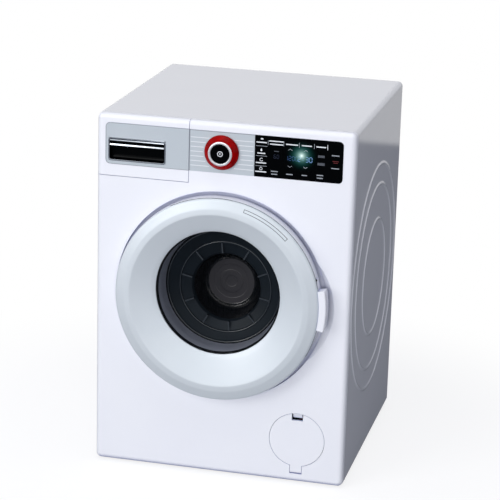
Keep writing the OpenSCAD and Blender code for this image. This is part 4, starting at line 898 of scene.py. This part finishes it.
# %% The glow of the lit lamp
# One turquoise lamp shines through the lens: white at its core and fading in a few
# millimetres, as light does that spreads inside a dark sheet.
GLOW_X, GLOW_Z, GLOW_R = 54.5, 243.0, 14.0
glow_print = bpy.data.materials.new("turquoise_lamp_glow")
glow_print.use_nodes = True
tree = glow_print.node_tree
tree.nodes.clear()
place = add_node(tree, "ShaderNodeTexCoord").outputs["Object"]
from_lamp = add_node(tree, "ShaderNodeVectorMath", {
    0: place, 1: (GLOW_X * MM, FRONT_Y - DISPLAY_FORWARD * MM, GLOW_Z * MM)}, operation="DISTANCE")
falloff = add_node(tree, "ShaderNodeMapRange", {
    "Value": from_lamp.outputs["Value"], "From Min": GLOW_R * MM, "From Max": 0.0})
power = add_node(tree, "ShaderNodeMath", {0: falloff.outputs[0], 1: 4.5}, operation="POWER")
tone = add_node(tree, "ShaderNodeMix", {
    "Factor": power.outputs[0], 6: linear("#0f9c93"), 7: linear("#eafffb")}, data_type="RGBA")
shine = add_node(tree, "ShaderNodeEmission", {"Color": tone.outputs[2], "Strength": 1.3})
clear = add_node(tree, "ShaderNodeBsdfTransparent")
mixed = add_node(tree, "ShaderNodeMixShader", {
    "Fac": power.outputs[0], 1: clear.outputs[0], 2: shine.outputs[0]})
add_node(tree, "ShaderNodeOutputMaterial", {"Surface": mixed.outputs[0]})
glow = printed("lamp_glow", [[(GLOW_X + GLOW_R * math.cos(t), GLOW_Z + GLOW_R * math.sin(t))
                              for t in [2 * math.pi * i / 48 for i in range(48)]]],
               DISPLAY_FORWARD + 0.02, glow_print)
glow.visible_shadow = False
print("lamp lit")

# %% [markdown]
# ### Printed lines beside the knob
#
# Seven lines stand on each side, evenly spaced, and each ends where the knob's ring begins,
# so their inner ends follow a circle.  A small geometry node group makes them from six
# numbers: it lays a column of points, works out from each point's height how long its line
# can be, and puts a stretched square there.

# %% A node group for a fan of lines
def make_fan_group():
    group = bpy.data.node_groups.new("fan_of_lines", "GeometryNodeTree")
    for name, kind, value in (("Count", "NodeSocketInt", 7), ("Pitch", "NodeSocketFloat", 3.35),
                              ("Reach", "NodeSocketFloat", 22.5), ("Clear", "NodeSocketFloat", 13.4),
                              ("Thickness", "NodeSocketFloat", 0.7), ("Side", "NodeSocketFloat", 1.0)):
        socket = group.interface.new_socket(name, in_out="INPUT", socket_type=kind)
        socket.default_value = value
    group.interface.new_socket("Ink", in_out="INPUT", socket_type="NodeSocketMaterial")
    group.interface.new_socket("Geometry", in_out="OUTPUT", socket_type="NodeSocketGeometry")
    given = add_node(group, "NodeGroupInput")

    def math_node(operation, a, b=0.0):
        return add_node(group, "ShaderNodeMath", {0: a, 1: b}, operation=operation).outputs[0]

    def vector(x=0.0, y=0.0, z=0.0):
        return add_node(group, "ShaderNodeCombineXYZ", {"X": x, "Y": y, "Z": z}).outputs[0]

    span = math_node("MULTIPLY", math_node("SUBTRACT", given.outputs["Count"], 1.0),
                     given.outputs["Pitch"])
    column = add_node(group, "GeometryNodeMeshLine", {
        "Count": given.outputs["Count"], "Start Location": vector(z=math_node(
            "MULTIPLY", span, -0.5)), "Offset": vector(z=given.outputs["Pitch"])})
    height = add_node(group, "ShaderNodeSeparateXYZ", {
        0: add_node(group, "GeometryNodeInputPosition").outputs[0]}).outputs["Z"]
    inside = math_node("SUBTRACT", math_node("POWER", given.outputs["Clear"], 2.0),
                       math_node("MULTIPLY", height, height))
    inner = math_node("SQRT", math_node("MAXIMUM", inside, 0.0))
    length = math_node("SUBTRACT", given.outputs["Reach"], inner)
    middle = math_node("MULTIPLY", math_node("ADD", given.outputs["Reach"], inner), 0.5)
    moved = add_node(group, "GeometryNodeSetPosition", {
        "Geometry": column.outputs[0],
        "Offset": vector(x=math_node("MULTIPLY", middle, given.outputs["Side"]))})
    square = add_node(group, "GeometryNodeMeshGrid", {
        "Size X": 1.0, "Size Y": 1.0, "Vertices X": 2, "Vertices Y": 2})
    upright = add_node(group, "GeometryNodeTransform", {
        "Geometry": square.outputs[0], "Rotation": (math.radians(90), 0.0, 0.0)})
    lines = add_node(group, "GeometryNodeInstanceOnPoints", {
        "Points": moved.outputs[0], "Instance": upright.outputs[0],
        "Scale": vector(length, 1.0, given.outputs["Thickness"])})
    real = add_node(group, "GeometryNodeRealizeInstances", {"Geometry": lines.outputs[0]})
    inked = add_node(group, "GeometryNodeSetMaterial", {
        "Geometry": real.outputs[0], "Material": given.outputs["Ink"]})
    add_node(group, "NodeGroupOutput", {"Geometry": inked.outputs[0]})
    return group


def baked(name, group, settings, body, scale=MM, at=(0.0, 0.0, 0.0)):
    """Runs the group once, with inputs set by name, and keeps its mesh, moved into place."""
    holder = bpy.data.objects.new(name + "_source", bpy.data.meshes.new(name + "_source"))
    scene.collection.objects.link(holder)
    made_by = holder.modifiers.new("repeat", "NODES")
    made_by.node_group = group
    for item in group.interface.items_tree:
        if item.item_type == "SOCKET" and item.in_out == "INPUT" and item.name in settings:
            made_by[item.identifier] = settings[item.name]
    holder.update_tag()
    ready = holder.evaluated_get(bpy.context.evaluated_depsgraph_get())
    shape = bpy.data.meshes.new_from_object(ready)
    bpy.data.objects.remove(holder)
    shape.transform(Matrix.Translation(at) @ Matrix.Scale(scale, 4))
    piece = bpy.data.objects.new(name, shape)
    scene.collection.objects.link(piece)
    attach(piece, body)
    return piece


fan_group = make_fan_group()
for side in (-1.0, 1.0):
    fan = baked("panel_lines_" + ("left" if side < 0 else "right"), fan_group, {
        "Count": 7, "Pitch": 3.35, "Reach": 22.4, "Clear": 13.4, "Thickness": 0.6,
        "Side": side, "Ink": white_ink}, "cabinet",
        at=(KNOB[0], FRONT_Y - 0.22 * MM, KNOB[1] - 0.7 * MM))
    print(fan.name, len(fan.data.polygons), "lines")

# %% [markdown]
# ### Ribs inside the bowl
#
# The ledge inside the smoked bowl carries short stiffening ribs, all alike and evenly
# spaced.  One block, instanced round a circle, makes them, and the same group will serve for
# anything else that repeats round an axis.

# %% A node group for blocks round an axis
def make_ring_group():
    group = bpy.data.node_groups.new("blocks_round_an_axis", "GeometryNodeTree")
    for name, kind, value in (("Count", "NodeSocketInt", 10), ("Radius", "NodeSocketFloat", 30.0),
                              ("Start", "NodeSocketFloat", 0.0), ("Long", "NodeSocketFloat", 8.0),
                              ("Wide", "NodeSocketFloat", 1.5), ("Deep", "NodeSocketFloat", 2.0)):
        socket = group.interface.new_socket(name, in_out="INPUT", socket_type=kind)
        socket.default_value = value
    group.interface.new_socket("Finish", in_out="INPUT", socket_type="NodeSocketMaterial")
    group.interface.new_socket("Geometry", in_out="OUTPUT", socket_type="NodeSocketGeometry")
    given = add_node(group, "NodeGroupInput")

    def math_node(operation, a, b=0.0):
        return add_node(group, "ShaderNodeMath", {0: a, 1: b}, operation=operation).outputs[0]

    def vector(x=0.0, y=0.0, z=0.0):
        return add_node(group, "ShaderNodeCombineXYZ", {"X": x, "Y": y, "Z": z}).outputs[0]

    column = add_node(group, "GeometryNodeMeshLine", {"Count": given.outputs["Count"]})
    number = add_node(group, "GeometryNodeInputIndex").outputs[0]
    turn = math_node("ADD", math_node("DIVIDE", math_node("MULTIPLY", number, 2 * math.pi),
                                      given.outputs["Count"]), given.outputs["Start"])
    spot = vector(math_node("MULTIPLY", math_node("COSINE", turn), given.outputs["Radius"]), 0.0,
                  math_node("MULTIPLY", math_node("SINE", turn), given.outputs["Radius"]))
    placed = add_node(group, "GeometryNodeSetPosition", {
        "Geometry": column.outputs[0], "Position": spot})
    block = add_node(group, "GeometryNodeMeshCube", {"Size": vector(
        given.outputs["Long"], given.outputs["Deep"], given.outputs["Wide"])})
    blocks = add_node(group, "GeometryNodeInstanceOnPoints", {
        "Points": placed.outputs[0], "Instance": block.outputs[0],
        "Rotation": vector(y=math_node("MULTIPLY", turn, -1.0))})
    real = add_node(group, "GeometryNodeRealizeInstances", {"Geometry": blocks.outputs[0]})
    finished_mesh = add_node(group, "GeometryNodeSetMaterial", {
        "Geometry": real.outputs[0], "Material": given.outputs["Finish"]})
    add_node(group, "NodeGroupOutput", {"Geometry": finished_mesh.outputs[0]})
    return group


ring_group = make_ring_group()
# The ribs take the paler smoke of the lips, a painted highlight.
ribs = baked("bowl_ribs", ring_group, {
    "Count": 10, "Radius": 29.2, "Start": math.radians(24), "Long": 7.4, "Wide": 1.1,
    "Deep": 2.6, "Finish": smoked_painted_highlight}, "door",
    at=(DOOR_X, FRONT_Y + 17.0 * MM, DOOR_Z + 1.5 * MM))
print("ribs", len(ribs.data.polygons) // 6)

# %% The small hole in the door's rim
# A release hole above the handle goes into the door's hollow, so it is dark inside.  It
# opens in the white edge of the frame that shows round the ring, and its shade is painted
# as a flat dark disc lying on that edge.
HOLE_TURN, HOLE_ACROSS, HOLE_FORWARD = math.radians(17), 0.85, 9.36
frame_low, frame_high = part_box("door_frame")
HOLE_R = (73.8 + (frame_high.x - DOOR_X) / MM) / 2
hole = bpy.data.meshes.new("rim_hole_shadow")
work = bmesh.new()
bmesh.ops.create_cone(work, cap_ends=True, segments=24, radius1=HOLE_ACROSS * MM,
                      radius2=HOLE_ACROSS * MM, depth=MM,
                      matrix=Matrix.Rotation(math.radians(90), 4, "X"))
work.to_mesh(hole)
work.free()
hole.transform(Matrix.Translation((
    DOOR_X + HOLE_R * MM * math.cos(HOLE_TURN), FRONT_Y - (HOLE_FORWARD - 0.5) * MM,
    DOOR_Z + HOLE_R * MM * math.sin(HOLE_TURN))))
hole.materials.append(dark_plastic)
rim_hole = bpy.data.objects.new("rim_hole_shadow", hole)
scene.collection.objects.link(rim_hole)
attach(rim_hole, "door")
print("hole at radius", round(HOLE_R, 2))

# %% [markdown]
# ### Small parts at the flap, the door's edge and the back
#
# The flap's finger notch shows a small white ledge, the rest that the flap closes against,
# above a dark slot.  Screws, latch, speaker and battery door are dressed CAD pieces.

# %% The ledge in the flap's notch
flap_low, flap_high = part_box("service_flap")
NOTCH_X, NOTCH_TOP = (flap_low.x + flap_high.x) / 2 / MM, flap_high.z / MM - 0.1
work = bmesh.new()
section = [(-0.5, NOTCH_TOP + 0.4), (-0.9, NOTCH_TOP - 0.6), (-2.2, NOTCH_TOP - 3.1),
           (-2.8, NOTCH_TOP - 3.2), (-2.9, NOTCH_TOP + 0.4)]
ends = [[work.verts.new((x * MM, FRONT_Y - f * MM, z * MM)) for f, z in section]
        for x in (NOTCH_X - 3.3, NOTCH_X + 3.3)]
for k in range(len(section)):
    n = (k + 1) % len(section)
    work.faces.new((ends[0][k], ends[0][n], ends[1][n], ends[1][k]))
for end in ends:
    work.faces.new(end)
bmesh.ops.recalc_face_normals(work, faces=work.faces)
ledge = finished("flap_rest_ledge", work, white_abs, "cabinet")
print("ledge under the rim", round(NOTCH_TOP, 2))

# %% Remaining pieces that can be seen
for node, soft in {
        "service_cup": 0.2, "door_latch": 0.2, "case_screws": 0.12, "battery_door": 0.2,
        "battery_door_screw": 0.12, "speaker": 0.1, "door_screws": 0.12, "drum_screw": 0.12,
        "tub_shell": 0.2, "battery_box": 0.2, "battery_cells": 0.3, "hinge_pin": 0.1,
        "drum_bearing": 0.1, "knob_switch": 0.1, "drum_gear": 0.1, "idler_gear": 0.1}.items():
    DRESSED[node] = dressed(node, soft)
print(len(DRESSED), "dressed,", sum(len(p.data.polygons) for p in DRESSED.values()), "faces")
